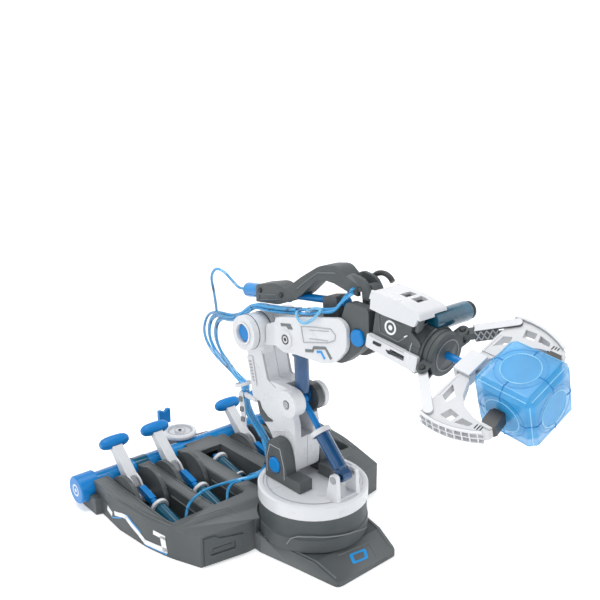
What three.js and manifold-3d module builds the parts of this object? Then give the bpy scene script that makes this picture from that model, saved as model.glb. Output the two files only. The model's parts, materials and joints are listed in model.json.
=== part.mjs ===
// Hydraulic robot-arm kit: a base with four hand levers and a hand wheel, a water tank, a turntable,
// a shoulder, column, forearm and tilting wrist driven by syringe cylinders, and a two-finger claw
// that holds a faceted ball.
//
// Frame: millimetres, +Z up, origin on the floor under the turntable's axis. The base and the arm
// point along -Y, so "forward" below is -Y. +X is on the side away from the near wing.
// An outline of a side plate is a list of [forward, up, corner], with corner as the length that
// a rounded corner takes off each side.

import * as THREE from 'three';
import { mergeVertices } from 'three/addons/utils/BufferGeometryUtils.js';
import { ConvexGeometry } from 'three/addons/geometries/ConvexGeometry.js';
import Module from 'manifold-3d';

const wasm = await Module();
wasm.setup();

// ---------------------------------------------------------------- driving dimensions

const GAP = 0.35; // running gap between neighbours

const TURNTABLE = { radius: 50, top: 59.5, rim: 13, drumRadius: 50.5, drumFoot: 15, spigot: 9 };
const WING = { deck: 30, floor: 3.3, prow: 16.5, tail: 20 };
const LEVER = {
  centres: [-94, -47, 47, 94], pivot: [-147, 11.5], pinRadius: 2.8, lean: 46, length: 61, gripLength: 32,
};
const MASTER = { front: [-75, 10.2], slope: 11.5, length: 40, radius: 6.5, bore: 5.2 };
const TANK = { forward: -190, up: 19.5, radius: 11.6, half: 140, capRadius: 14, capLength: 20 };
const WHEEL = { at: [-8.5, -205], bottom: 31.5, radius: 18, thickness: 5.5, axle: 1.8, post: 5.5 };
const KEY = { at: [-14, -227.5], post: 2.8, top: 55 };

const SHOULDER = [-22, 74];
const KNUCKLE = [-13.5, 133];
const ELBOW = [-60, 189.5];
const ELBOW_LINK = [-17, 193];
const CLEVIS = [40, 79];
const WRIST = [70, 216];
const TILT_PIN = [61, 251];
const TILT_ROD_FOOT = [27, 233];

const WRIST_DROP = 8; // degrees that the wrist points down
const ROLL_RISE = 11.5; // roll axis above the wrist pin
const HEAD_FACE = 71.4; // face of the head disc ahead of the wrist pin
const HEAD_ROLL = 26; // degrees that the claw's plane is rolled
const CLAW = { lug: [23, -3.4], elbow: [50, 25], inner: [5.6, 24], tip: [39.6, 67], thickness: 7 };
const GEM = { ahead: 65, half: 24, flat: 18.8, wall: 3 };

// ---------------------------------------------------------------- looks

const look = (color, roughness, extra = {}) => new THREE.MeshStandardMaterial({ color, roughness, ...extra });
const LOOKS = {
  white: look(0xf2f3f4, 0.35),
  grey: look(0x5c6466, 0.55),
  dark: look(0x2b2d2f, 0.7),
  blue: look(0x0a86d8, 0.35),
  clearTeal: look(0x0d5f8e, 0.15, { transparent: true, opacity: 0.75 }),
  tank: look(0x2f6fd0, 0.2, { transparent: true, opacity: 0.8 }),
  hose: look(0x39a9ec, 0.2, { transparent: true, opacity: 0.7 }),
  gem: look(0x4fb8f2, 0.1, { transparent: true, opacity: 0.7 }),
};

// ---------------------------------------------------------------- solids

/** A geometry as a manifold solid, with its faces turned outwards. */
function toSolid(geometry) {
  const bare = geometry.index ? geometry.toNonIndexed() : geometry.clone();
  bare.deleteAttribute('normal');
  bare.deleteAttribute('uv');
  const merged = mergeVertices(bare, 1e-4);
  const position = merged.attributes.position.array;
  const corner = (i) => new THREE.Vector3().fromArray(position, 3 * i);
  const kept = [];
  let volume = 0;
  for (let i = 0; i < merged.index.count; i += 3) {
    const [a, b, c] = [0, 1, 2].map((k) => merged.index.getX(i + k));
    if (a === b || b === c || c === a) continue;
    kept.push([a, b, c]);
    volume += corner(a).dot(corner(b).cross(corner(c)));
  }
  const turned = volume < 0 ? kept.map(([a, b, c]) => [a, c, b]) : kept;
  return new wasm.Manifold(new wasm.Mesh({
    numProp: 3,
    vertProperties: new Float32Array(position),
    triVerts: new Uint32Array(turned.flat()),
  }));
}

function toGeometry(solid) {
  const mesh = solid.getMesh();
  const geometry = new THREE.BufferGeometry();
  geometry.setAttribute('position', new THREE.BufferAttribute(new Float32Array(mesh.vertProperties), 3));
  geometry.setIndex(new THREE.BufferAttribute(new Uint32Array(mesh.triVerts), 1));
  return geometry;
}

const join = (...pieces) => toGeometry(pieces.map(toSolid).reduce((a, b) => a.add(b)));
const cut = (body, ...tools) => toGeometry(tools.map(toSolid).reduce((a, b) => a.subtract(b), toSolid(body)));
const overlap = (a, b) => toGeometry(toSolid(a).intersect(toSolid(b)));

/** A closed outline whose corners may be rounded. */
function outline(points) {
  const shape = new THREE.Shape();
  const at = points.map(([a, b]) => new THREE.Vector2(a, b));
  points.forEach((point, i) => {
    const here = at[i];
    const [before, after] = [at.at(i - 1), at[(i + 1) % at.length]];
    const size = Math.min(point[2] ?? 0, 0.48 * here.distanceTo(before), 0.48 * here.distanceTo(after));
    const towards = (other) => other.clone().sub(here).setLength(size).add(here);
    const start = size ? towards(before) : here;
    if (i === 0) shape.moveTo(start.x, start.y);
    else shape.lineTo(start.x, start.y);
    if (!size) return;
    const end = towards(after);
    shape.quadraticCurveTo(here.x, here.y, end.x, end.y);
  });
  shape.closePath();
  return shape;
}

const CURVE_STEPS = 3;

/** A side plate: an outline of [forward, up] points, standing between two x. */
function plateX(points, xLow, xHigh) {
  const flat = new THREE.ExtrudeGeometry(outline(points), {
    depth: xHigh - xLow, bevelEnabled: false, curveSegments: CURVE_STEPS,
  });
  const turn = new THREE.Matrix4().makeBasis(
    new THREE.Vector3(0, -1, 0), new THREE.Vector3(0, 0, 1), new THREE.Vector3(-1, 0, 0));
  return flat.applyMatrix4(turn).translate(xHigh, 0, 0);
}

/** A level plate: an outline of [x, forward] points, between two heights. */
function plateZ(points, low, high) {
  const flat = new THREE.ExtrudeGeometry(outline(points), {
    depth: high - low, bevelEnabled: false, curveSegments: CURVE_STEPS,
  });
  const turn = new THREE.Matrix4().makeBasis(
    new THREE.Vector3(1, 0, 0), new THREE.Vector3(0, -1, 0), new THREE.Vector3(0, 0, -1));
  return flat.applyMatrix4(turn).translate(0, 0, high);
}

/** A box from its x, forward and up ranges. */
function block([x0, x1], [f0, f1], [z0, z1]) {
  return new THREE.BoxGeometry(x1 - x0, f1 - f0, z1 - z0)
    .translate((x0 + x1) / 2, -(f0 + f1) / 2, (z0 + z1) / 2);
}

const ROUND = 18;

/** A cylinder along X, through the point [forward, up]. */
function pinX(radius, x0, x1, [forward, up], sides = ROUND) {
  return new THREE.CylinderGeometry(radius, radius, x1 - x0, sides)
    .rotateZ(Math.PI / 2).translate((x0 + x1) / 2, -forward, up);
}

/** A cylinder along Z, through the point [x, forward]. */
function pinZ(radius, z0, z1, [x, forward], sides = ROUND) {
  return new THREE.CylinderGeometry(radius, radius, z1 - z0, sides)
    .rotateX(Math.PI / 2).translate(x, -forward, (z0 + z1) / 2);
}

/** A turned piece about Z from its [radius, height] profile. */
function turned(profile, sides = ROUND) {
  const points = profile.map(([radius, height]) => new THREE.Vector2(radius, height));
  return new THREE.LatheGeometry(points, sides).rotateX(Math.PI / 2);
}

/** Stands a piece made along Z at [x, forward, up], with its Z towards a second such point. */
function aim(geometry, from, to) {
  const [start, end] = [from, to].map(([x, forward, up]) => new THREE.Vector3(x, -forward, up));
  const direction = end.clone().sub(start).normalize();
  const turn = new THREE.Quaternion().setFromUnitVectors(new THREE.Vector3(0, 0, 1), direction);
  return geometry.applyQuaternion(turn).translate(start.x, start.y, start.z);
}

/** A hose of the given radius through [x, forward, up] points. */
function hose(points, radius, steps) {
  const curve = new THREE.CatmullRomCurve3(points.map(([x, forward, up]) => new THREE.Vector3(x, -forward,
    up)));
  const section = new THREE.Shape().absarc(0, 0, radius, 0, 2 * Math.PI);
  return new THREE.ExtrudeGeometry(section, {
    extrudePath: curve, steps, curveSegments: 3, bevelEnabled: false,
  });
}

const radians = THREE.MathUtils.degToRad;
const mirrored = (points) => points.map(([x, ...rest]) => [-x, ...rest]).reverse();

// ---------------------------------------------------------------- assembly

const robot = new THREE.Group();

function part(name, geometry, material, parent = robot) {
  const solid = toGeometry(toSolid(geometry));
  solid.computeVertexNormals();
  const mesh = new THREE.Mesh(solid, material);
  mesh.name = name;
  parent.add(mesh);
  return mesh;
}

// ---------------------------------------------------------------- base

const PROW_SIDE = [[36, 71, 5], [45, 22], [52, -12]];
const WING_SIDE = [[117, -58, 6], [124, -86, 8], [128, -128], [126, -164], [132, -166], [132, -198],
  [34, -206.5],
  [33, -213, 3], [18, -215], [17, -238, 10]];
const NEAR_FRONT = [[-52, -20], [-61, -20], [-105, -28]];
const FAR_FRONT = [[52, -13], [61, -13], [106, -19]];

/** Floor plan of the base: prow, both wings and the tank's bed. */
function floorPlan() {
  const near = [...mirrored(PROW_SIDE).reverse(), ...NEAR_FRONT, ...mirrored(WING_SIDE).reverse()];
  const far = [...PROW_SIDE, ...FAR_FRONT, ...WING_SIDE];
  return [...near, ...far.reverse()];
}

/** The air over the prow's deck, which is lower than the wings and slopes down at the front. */
function prowSlope() {
  const { prow } = WING;
  return plateX([[-19, 60], [80, 60], [80, 4], [71, 4], [46, prow - 2.5], [-12, prow], [-19, prow]], -59, 59);
}

/** The open bay that holds a lever and its cylinder. */
function leverBay(centre) {
  const half = 17;
  const above = WING.deck + 20;
  return plateX([[-66, WING.floor], [-62, above], [-178, above], [-178, WING.floor]], centre - half,
    centre + half);
}

/** The two half-disc cheeks that a lever swings between. */
function leverCheeks(centre) {
  const radius = 28;
  const halfDisc = (x) => overlap(
    pinX(radius, x, x + 4.5, LEVER.pivot, 40),
    block([x - 1, x + 5.5], [-177, -100], [WING.floor - 1, 60]));
  return [halfDisc(centre - 16.5), halfDisc(centre + 12)];
}

function baseShell() {
  const slab = plateZ(floorPlan(), 0, WING.deck);
  const bays = LEVER.centres.map(leverBay);
  const channel = plateX([[-54, WING.floor], [-54, 60], [-160, 60], [-160, WING.floor]], -13, 13);
  const overTail = block([-150, 150], [-240, -178], [WING.tail, 60]);
  const endSteps = [[-140, -126], [126, 140]].map((x) => block(x, [-210, -150], [17, 60]));
  const tankBed = pinX(TANK.radius + GAP, -150, 150, [TANK.forward, TANK.up], 32);
  const capStart = TANK.half - TANK.capLength - GAP;
  const capRooms = [[-150, -capStart], [capStart, 150]]
    .map(([low, high]) => pinX(TANK.capRadius + GAP, low, high, [TANK.forward, TANK.up], 32));
  const saddle = plateX([[-160, 18], [-163, WING.deck, 2], [-184, WING.deck], [-184, 18]], -17, 17);
  const tunnel = plateX([[-150, 10], [-150, 24], [-174, 26], [-174, 10]], -9, 9);
  const drumSeat = pinZ(TURNTABLE.drumRadius + GAP, TURNTABLE.drumFoot, 80, [0, 0], 40);
  const cheeks = LEVER.centres.flatMap(leverCheeks);
  const pinSeats = LEVER.centres.map((x) => pinX(LEVER.pinRadius + GAP, x - 14.4, x + 14.4, LEVER.pivot, 12));
  const wheelPost = pinZ(WHEEL.post, 12, WHEEL.bottom - 2.4 - GAP, WHEEL.at, 20);
  const axles = [pinZ(WHEEL.axle + GAP, 12, 40, WHEEL.at, 14), pinZ(KEY.post + GAP, 12, 30, KEY.at, 14)];
  const hull = cut(slab, prowSlope(), channel, ...bays, overTail, ...endSteps);
  return cut(join(hull, saddle, wheelPost, ...cheeks),
    tankBed, ...capRooms, tunnel, drumSeat, ...pinSeats, ...axles);
}

function drum() {
  const { drumRadius: r, drumFoot: foot, top, rim } = TURNTABLE;
  const height = top - rim - foot - 2 * GAP;
  const ridge = 12;
  const seat = TURNTABLE.spigot + GAP;
  return turned([[0, 0], [r - 0.2, 0], [r - 0.2, ridge], [r - 1.4, ridge + 1], [r - 1.4, height],
    [seat, height],
    [seat, height - 9.4], [0, height - 9.4]], 40)
    .translate(0, 0, foot + GAP);
}

/** A syringe barrel along +Z: closed nozzle end at 0, open mouth with its collar at the far end. */
function barrel({ length, radius, bore, mouth, collar = 2, nozzle = 2 }) {
  return turned([
    [0, -4], [nozzle, -4], [nozzle, 0], [radius, 0], [radius, length - 4], [radius + collar, length - 4],
    [radius + collar, length], [mouth, length], [mouth, length - 3], [bore, length - 3], [bore, 3], [0, 3],
  ], 16);
}

const masterAxis = (distance) => [
  MASTER.front[0] - distance * Math.cos(radians(MASTER.slope)),
  MASTER.front[1] + distance * Math.sin(radians(MASTER.slope)),
];

function masterBarrel(x) {
  const [near, far] = [masterAxis(0), masterAxis(MASTER.length)];
  return aim(barrel({ ...MASTER, mouth: 4.7 }), [x, ...near], [x, ...far]);
}

/** A push rod: round inside its barrel, with a flat tongue behind. */
function pushRod(x) {
  const shaft = aim(turned([[0, 0], [3.1, 0], [3.1, 26], [0, 26]], 12), [x, ...masterAxis(24)],
    [x, ...masterAxis(60)]);
  const [start, end] = [masterAxis(48), masterAxis(70)];
  const tongue = plateX(
    [[start[0], start[1] - 3.5], [start[0], start[1] + 3.5], [end[0], end[1] + 4, 3],
      [end[0], end[1] - 4, 3]],
    x - 3, x + 3);
  return join(shaft, tongue);
}

/** A lever arm: pivot boss, two fork plates beside the push rod's tongue, and a tapered stem. */
function leverArm(x) {
  const lean = radians(LEVER.lean);
  const along = (distance, aside = 0) => [
    LEVER.pivot[0] - distance * Math.sin(lean) + aside * Math.cos(lean),
    LEVER.pivot[1] + distance * Math.cos(lean) + aside * Math.sin(lean),
  ];
  const boss = join(
    pinX(5.2, x - 11.6, x + 11.6, LEVER.pivot, 12), pinX(LEVER.pinRadius, x - 14, x + 14, LEVER.pivot, 12));
  const forkSide = (low, high) => plateX(
    [along(-3, -6), along(-3, 6), [...along(16, 9), 3], [...along(24, 6)], [...along(24, -6)]], low, high);
  const stem = plateX(
    [along(20, -5.6), along(20, 5.6), along(LEVER.length - 3, 3.6), along(LEVER.length - 3, -3.6)], x - 5.5,
      x + 5.5);
  return join(boss, forkSide(x - 5.5, x - 3.4), forkSide(x + 3.4, x + 5.5), stem);
}

function leverGrip(x) {
  const half = LEVER.gripLength / 2;
  const profile = [
    [0, -half], [3.4, -half + 0.9], [5.4, -half + 3.6], [6.5, -half + 8], [6.9, 0],
    [6.5, half - 8], [5.4, half - 3.6], [3.4, half - 0.9], [0, half],
  ];
  const lean = radians(LEVER.lean);
  const forward = LEVER.pivot[0] - (LEVER.length + 2.6) * Math.sin(lean);
  const up = LEVER.pivot[1] + (LEVER.length + 2.6) * Math.cos(lean);
  const body = turned(profile, 14).rotateY(Math.PI / 2).translate(x, -forward, up);
  return cut(body, leverSocket(x));
}

/** Room for the stem's end inside the grip. */
function leverSocket(x) {
  const lean = radians(LEVER.lean);
  const tip = LEVER.length - 3 + GAP;
  return new THREE.BoxGeometry(11 + 2 * GAP, 7.2 + 2 * GAP, 12)
    .translate(0, 0, tip - 6).rotateX(-lean).translate(x, -LEVER.pivot[0], LEVER.pivot[1]);
}

function buildBase() {
  part('base_shell', baseShell(), LOOKS.grey);
  part('turntable_drum', drum(), LOOKS.grey);
  LEVER.centres.forEach((x, i) => {
    part(`master_barrel_${i + 1}`, masterBarrel(x), LOOKS.clearTeal);
    part(`push_rod_${i + 1}`, pushRod(x), LOOKS.blue);
    part(`lever_arm_${i + 1}`, leverArm(x), LOOKS.white);
    part(`lever_grip_${i + 1}`, leverGrip(x), LOOKS.blue);
  });
  const channelBack = 33;
  const channelShift = new THREE.Matrix4().makeTranslation(0, channelBack, 3.5);
  part('channel_barrel', masterBarrel(0).applyMatrix4(channelShift), LOOKS.clearTeal);
  const channelRod = aim(turned([[0, 0], [3.1, 0], [3.1, 24], [0, 24]], 12),
    [0, ...masterAxis(22)], [0, ...masterAxis(60)]);
  part('channel_rod', channelRod.applyMatrix4(channelShift), LOOKS.blue);
}

// ---------------------------------------------------------------- tank, wheel and valve key

function buildTank() {
  const centre = [TANK.forward, TANK.up];
  const tube = (half, radius) => turned([[0, -half], [radius, -half], [radius, half], [0, half]], 32)
    .rotateY(Math.PI / 2).translate(0, -centre[0], centre[1]);
  const { capLength, capRadius: r } = TANK;
  const inner = TANK.half - capLength;
  part('tank_tube', tube(inner - GAP, TANK.radius - 0.5), LOOKS.tank);
  for (const [side, name] of [[-1, 'tank_cap_near'], [1, 'tank_cap_far']]) {
    const cap = turned([[0, 0], [r, 0], [r, capLength - 1], [r - 1, capLength], [0, capLength]], 32);
    part(name, cap.rotateY(side * Math.PI / 2).translate(side * inner, -centre[0], centre[1]), LOOKS.blue);
  }
}

function handWheel() {
  const { at: [x, forward], radius: r, thickness: t, axle, bottom } = WHEEL;
  const rim = [[r - 1.5, 0], [r, 1.6], [r, t - 1.6], [r - 1.5, t], [r - 4, t], [r - 5.5, t - 3]];
  const hub = [[5, t - 3], [4, t - 1], [0, t - 1]];
  return turned([[0, -17], [axle, -17], [axle, -2.4], [5, -2.4], [5, 0], ...rim, ...hub], 24)
    .translate(x, -forward, bottom);
}

/** A blue key with a notched, winged top on a round post. */
function valveKey() {
  const [x, f] = KEY.at;
  const post = pinZ(KEY.post, 13, KEY.top - 14, KEY.at, 14);
  const wing = plateZ([[x - 7, f - 2.2], [x + 7, f - 2.2], [x + 7, f + 2.2], [x - 7, f + 2.2]], KEY.top - 16,
    KEY.top);
  const notch = new THREE.CylinderGeometry(3.4, 3.4, 20, 14).translate(x, -f, KEY.top + 1);
  return cut(join(post, wing), notch);
}

// ---------------------------------------------------------------- turntable and shoulder

function turntable() {
  const { radius: r, top, rim } = TURNTABLE;
  const disc = turned([[0, -9], [TURNTABLE.spigot, -9], [TURNTABLE.spigot, 0], [r, 0], [r, rim - 1.6],
    [r - 1.6, rim],
    [r - 4.5, rim], [r - 5.5, rim - 1.2], [0, rim - 1.2]], 44).translate(0, 0, top - rim);
  const f = CLEVIS[0];
  const ear = (x) => cut(
    plateX([[f - 9, top - 2], [f - 6, top + 14], [f - 4, top + 24, 3], [f + 4, top + 24, 3],
      [f + 5, top + 10],
      [f + 6, top - 2]], x - 2, x + 2),
    pinX(2.6, x - 3, x + 3, CLEVIS, 16));
  const floor = block([-12, 12], [f - 8, f + 5], [top - 2, top + 2]);
  return join(disc, ear(-11.5), ear(11.5), floor);
}

const BRACKET_INNER = 15;
const BRACKET_OUTER = 26.5;

function shoulderBracket(side) {
  const [f, z] = SHOULDER;
  const low = TURNTABLE.top - 1.2 + GAP;
  const [x0, x1] = side < 0 ? [-BRACKET_OUTER, -BRACKET_INNER] : [BRACKET_INNER, BRACKET_OUTER];
  const arch = plateX(
    [[f - 13, low], [f - 13, z + 4, 6], [f - 9, z + 24, 8], [f + 9, z + 24, 9], [f + 16, z, 6],
      [f + 17, low]], x0, x1);
  const foot = block(side < 0 ? [x0, -12] : [12, x1], [f + 16, f + 34], [low, low + 10.5]);
  return cut(join(arch, foot), pinX(7.6 + GAP, x0 - 1, x1 + 1, SHOULDER));
}

/** A pivot pin along X whose two ends are wider than its shaft. */
function pivotPin(centre, half, head, shaft, headLength) {
  const inner = half - headLength;
  return turned([[0, -half], [head - 1, -half], [head, -half + 1], [head, -inner], [shaft, -inner],
    [shaft, inner],
    [head, inner], [head, half - 1], [head - 1, half], [0, half]], 20)
    .rotateY(Math.PI / 2).translate(0, -centre[0], centre[1]);
}

// ---------------------------------------------------------------- column

const COLUMN_HALF = 14.5;
const HUB = { radius: 16, near: -30, seam: -2.8, far: 26 };

const COLUMN_LOWER = [[-36, 66, 5], [-8, 66, 6], [-7, 84, 8], [-8, 112], [-11, 122], [-60, 122, 6],
  [-56, 106, 6],
  [-43, 97, 5], [-36, 86, 4]];
const COLUMN_UPPER = [[-66, 118, 4], [-28, 118], [-34, 142, 4], [-46, 146], [-53, 172], [-76, 172],
  [-69, 130]];

function columnBlank(low, high) {
  const boss = join(
    pinX(12.5, low, high, KNUCKLE),
    plateX([[-60, 121], [-13.5, 120.5], [-13.5, 145.5], [-42, 145.5, 5], [-60, 140, 4]], low, high));
  return join(plateX(COLUMN_LOWER, low, high), plateX(COLUMN_UPPER, low, high), boss);
}

/** Room in the column's nose for both syringe ends on the knuckle pin. */
const knuckleSlot = () => plateX([[-28, 100], [-28, 160], [10, 160], [10, 100]], -7.4, 7.4);

function columnNear() {
  const blank = columnBlank(-COLUMN_HALF, -GAP / 2);
  const cheek = pinX(12.5, -20, -COLUMN_HALF + 0.5, KNUCKLE);
  const neck = plateX([[-76, 168], [-52, 168], [-48, 186], [-74, 186]], -COLUMN_HALF, HUB.seam);
  const head = pinX(HUB.radius, HUB.near, HUB.seam, ELBOW, 30);
  const room = pinX(HUB.radius + 0.6, HUB.seam, 30, ELBOW, 30);
  return cut(join(cut(join(blank, cheek), room), neck, head),
    knuckleSlot(), pinX(7.4 + GAP, -40, 0, SHOULDER), pinX(4 + GAP, -40, 0, ELBOW),
    pinX(8.6, -40, HUB.near + 3.9, ELBOW), pinX(4.2, -30, -16, KNUCKLE),
      pinX(2.6 + GAP, -17, 0, KNUCKLE, 16));
}

function columnFar() {
  return cut(columnBlank(GAP / 2, COLUMN_HALF), knuckleSlot(), pinX(HUB.radius + 0.6, -5, 30, ELBOW, 30),
    pinX(7.4 + GAP, -1, 40, SHOULDER), pinX(2.6 + GAP, -1, 40, KNUCKLE, 16));
}

/** The knuckle's pin, with the white-rimmed wheel on its far end. */
function knucklePin() {
  return turned([[0, 0], [2.6, 0], [2.6, 30.4], [9, 30.4], [12.5, 31.4], [12.5, 36], [10.5, 38], [0, 38]], 28)
    .rotateY(Math.PI / 2).translate(-15.4, -KNUCKLE[0], KNUCKLE[1]);
}

// ---------------------------------------------------------------- slave syringes

/** A syringe barrel with a round lug at its foot, from one pin towards another. */
function slaveBarrel({ foot, towards, length, radius, bore, mouth, lugHalf, forked }) {
  const body = turned([
    [0, 6], [radius - 1, 6], [radius, 7.5], [radius, length - 5], [radius + 1.6, length - 5],
      [radius + 1.6, length],
    [mouth, length], [mouth, length - 3], [bore, length - 3], [bore, 10], [0, 10]], 16);
  const ear = (x0, x1) => join(pinX(4.6, x0, x1, [0, 0], 14), block([x0, x1], [-4, 4], [0, 7]));
  const ears = forked ? [ear(-lugHalf, -3.2), ear(3.2, lugHalf)] : [ear(-lugHalf, lugHalf)];
  const upright = cut(join(body, ...ears), pinX(2.6 + GAP, -20, 20, [0, 0], 12));
  return lean(upright, foot, towards);
}

/** Turns a piece made along Z in the side plane so that it points from one pin to another. */
function lean(geometry, foot, towards) {
  const angle = Math.atan2(towards[0] - foot[0], towards[1] - foot[1]);
  return geometry.rotateX(angle).translate(0, -foot[0], foot[1]);
}

/** A piston rod with an eye at its foot. */
function slaveRod({ foot, towards, length, radius, eyeHalf }) {
  const shaft = turned([[0, 3], [radius, 3], [radius, length], [0, length]], 12);
  const eye = pinX(4.6, -eyeHalf, eyeHalf, [0, 0], 14);
  return lean(cut(join(shaft, eye), pinX(2.6 + GAP, -20, 20, [0, 0], 12)), foot, towards);
}

const SHOULDER_BARREL = { foot: CLEVIS, towards: KNUCKLE, length: 45, radius: 6.6, bore: 5.4, mouth: 5,
  lugHalf: 5 };
const SHOULDER_ROD = { foot: KNUCKLE, towards: CLEVIS, length: 44, radius: 2.8, eyeHalf: 2.8 };
const ELBOW_BARREL = {
  foot: KNUCKLE, towards: ELBOW_LINK, length: 46, radius: 6.6, bore: 5.4, mouth: 5, lugHalf: 6.8,
    forked: true,
};
const ELBOW_ROD = { foot: ELBOW_LINK, towards: KNUCKLE, length: 34, radius: 2.8, eyeHalf: 4 };

// ---------------------------------------------------------------- forearm

const PANEL = [[-25, 211, 3], [52, 228.5, 5], [61, 224, 5], [62, 205, 6], [50, 191, 6], [36, 185.5, 6],
  [2, 184.5],
  [-14, 182, 5], [-27, 186, 6]];
const PANEL_BOSS = [-10, 195.2];
const CORE = [[-42, 200], [-24, 207.5], [50, 224.5], [56, 242, 4], [80, 241, 4], [81, 218, 5], [72, 205, 5],
  [54, 190, 5],
  [34, 188], [-10, 188], [-24, 184], [-46, 180]];

function forearmCore() {
  const cheeks = plateX(CORE, -17.6, 17.6);
  const slot = plateX([[-30, 170], [-30, 203], [44, 219], [40, 262], [100, 262], [100, 170]], -8.6, 8.6);
  const hub = pinX(HUB.radius - 0.3, HUB.seam + GAP, HUB.far, ELBOW, 30);
  const neck = plateX([[-56, 177], [-58, 203], [-36, 203], [-36, 181]], HUB.seam + GAP, 17.6);
  const headRoom = pinX(HUB.radius + 0.6, -40, HUB.seam + GAP, ELBOW, 30);
  const columnRoom = plateX([[-90, 150], [-90, 210], [-43, 210], [-43, 150]], -40, HUB.seam + GAP);
  const post = plateX([[20, 214], [18, 236, 2], [34, 239.5, 2], [38, 218]], -7, 7);
  const body = join(cut(cheeks, headRoom, columnRoom, slot), hub, cut(neck, slot), post);
  const rodSeat = aim(pinZ(3.6, -30, 30, [0, 0], 16), [0, ...tiltAxis(0)], [0, ...tiltAxis(10)]);
  return cut(body, pinX(4 + GAP, -10, 30, ELBOW), pinX(7 + GAP, -20, 20, WRIST),
    pinX(2.6 + GAP, -20, 20, ELBOW_LINK, 16), rodSeat);
}

function forearmPanel(side) {
  const [x0, x1] = side < 0 ? [-22, -17.9] : [17.9, 22];
  const ring = pinX(7.5, side < 0 ? x0 - 1.6 : x1 - 1, side < 0 ? x0 + 1 : x1 + 1.6, PANEL_BOSS);
  return cut(join(plateX(PANEL, x0, x1), ring), pinX(HUB.radius + 0.6, -40, 40, ELBOW, 30));
}

// ---------------------------------------------------------------- wrist-tilt syringe

const TILT_SLOPE = 7.2;
const tiltAxis = (distance) => [
  TILT_ROD_FOOT[0] - distance * Math.cos(radians(TILT_SLOPE)),
  TILT_ROD_FOOT[1] - distance * Math.sin(radians(TILT_SLOPE)),
];

/** The fixed plunger that the tilt barrel slides on. */
function tiltRod() {
  const rod = turned([[0, -14], [4.6, -14], [4.6, -12], [3.2, -11.4], [3.2, 90], [0, 90]], 16);
  return aim(rod, [0, ...tiltAxis(0)], [0, ...tiltAxis(10)]);
}

function tiltBarrel() {
  const body = turned(
    [[0, 124], [2, 124], [2, 120], [6.4, 118], [6.8, 116], [6.8, 58], [5.2, 58], [5.2, 114], [0, 114]], 20);
  return aim(body, [0, ...tiltAxis(0)], [0, ...tiltAxis(10)]);
}

const FRAME_SPINE = [[-68, 213], [-68, 229, 3], [-40, 236, 6], [-28, 232, 6], [-10, 246, 8], [16, 262, 6],
  [36, 265.5, 5], [46, 258, 3], [50, 262, 4], [66, 260, 6], [73, 249, 4], [72, 243.6, 2], [50, 246],
    [33, 250],
  [14, 251, 6], [-10, 229, 8], [-36, 217, 6]];

/** An open notch that drives the wrist's tilt pin to and fro and lets it drop as the wrist turns. */
function tiltNotch() {
  const [f, z] = TILT_PIN;
  const half = 2 + GAP;
  const foot = [f + 12 * Math.sin(radians(TILT_SLOPE)), z - 12 * Math.cos(radians(TILT_SLOPE))];
  const slot = plateX([[f - half, z], [f + half, z], [foot[0] + half, foot[1]], [foot[0] - half, foot[1]]],
    -20, 20);
  return join(pinX(half, -20, 20, TILT_PIN, 16), slot);
}

/** The grey frame: a clamp round the barrel, a rising arm, and the half-round plate at the wrist. */
function tiltFrame() {
  const spine = plateX(FRAME_SPINE, -8.2, 8.2);
  const barrelRoom = aim(pinZ(6.8 + GAP, 40, 140, [0, 0]), [0, ...tiltAxis(0)], [0, ...tiltAxis(10)]);
  const rodRoom = aim(pinZ(5.4, -60, 60, [0, 0], 20), [0, ...tiltAxis(0)], [0, ...tiltAxis(10)]);
  const wristRoom = plateX([[46, 236], [46, 280], [90, 280], [90, 236]], -4.8, 4.8);
  return cut(spine, barrelRoom, rodRoom, wristRoom, tiltNotch());
}

// ---------------------------------------------------------------- wrist

const ROLL_BARREL = [54, 31.5];
const COVER = { near: -20.5, far: 10, low: 36 + GAP, top: 44.5 };

function wristHousing() {
  const bodyTop = 36;
  const body = join(
    plateX([[14, -3, 4], [14, 25], [50, 25], [60, 20, 3], [60, -5, 3], [50, -3]], -18, 17),
    plateX([[14, 20], [14, bodyTop], [50, bodyTop], [50, 20]], -18, 8));
  const collar = new THREE.CylinderGeometry(18.6, 18.6, 13, 36).translate(0, -55.7, ROLL_RISE);
  const lug = plateX([[-9, -9, 7], [-9, 8, 4], [-14, 30, 3], [-13, 38, 4], [-5, 40, 4], [2, 30], [16, 30],
    [16, -9],
    [4, -9, 4]], -4.4, 4.4);
  const axleRoom = new THREE.CylinderGeometry(5, 5, 40, 20).translate(0, -60, ROLL_RISE);
  const tiltPin = pinX(2, -8.2, 8.2, wristLocal(TILT_PIN), 16);
  const cylinderRoom = pinX(8 + GAP, -4, 30, ROLL_BARREL);
  return cut(join(cut(join(body, collar, lug), pinX(7 + GAP, -20, 20, [0, 0])), tiltPin), axleRoom,
    cylinderRoom);
}

/** A point of the arm's plane in the wrist's own frame. */
function wristLocal([forward, up]) {
  const drop = radians(WRIST_DROP);
  const [f, z] = [forward - WRIST[0], up - WRIST[1]];
  return [f * Math.cos(drop) - z * Math.sin(drop), f * Math.sin(drop) + z * Math.cos(drop)];
}

function wristCover() {
  const { near, far, low, top } = COVER;
  const lid = plateX([[8, low], [9, top - 1, 3], [40, top, 3], [56, top - 2, 2], [58, low + 1]], near, far);
  const slots = [26, 37].map((f) => block([-8, 4], [f, f + 7], [top - 3.5, 60]));
  const skirtSide = [[10, 29], [9, top - 1], [56, top - 3], [54, 31, 2], [24, 29]];
  const skirts = [plateX(skirtSide, near, -18 - GAP), plateX(skirtSide, 8 + GAP, far)];
  return cut(join(lid, ...skirts), ...slots, pinX(8.6, -4, 40, ROLL_BARREL));
}

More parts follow.
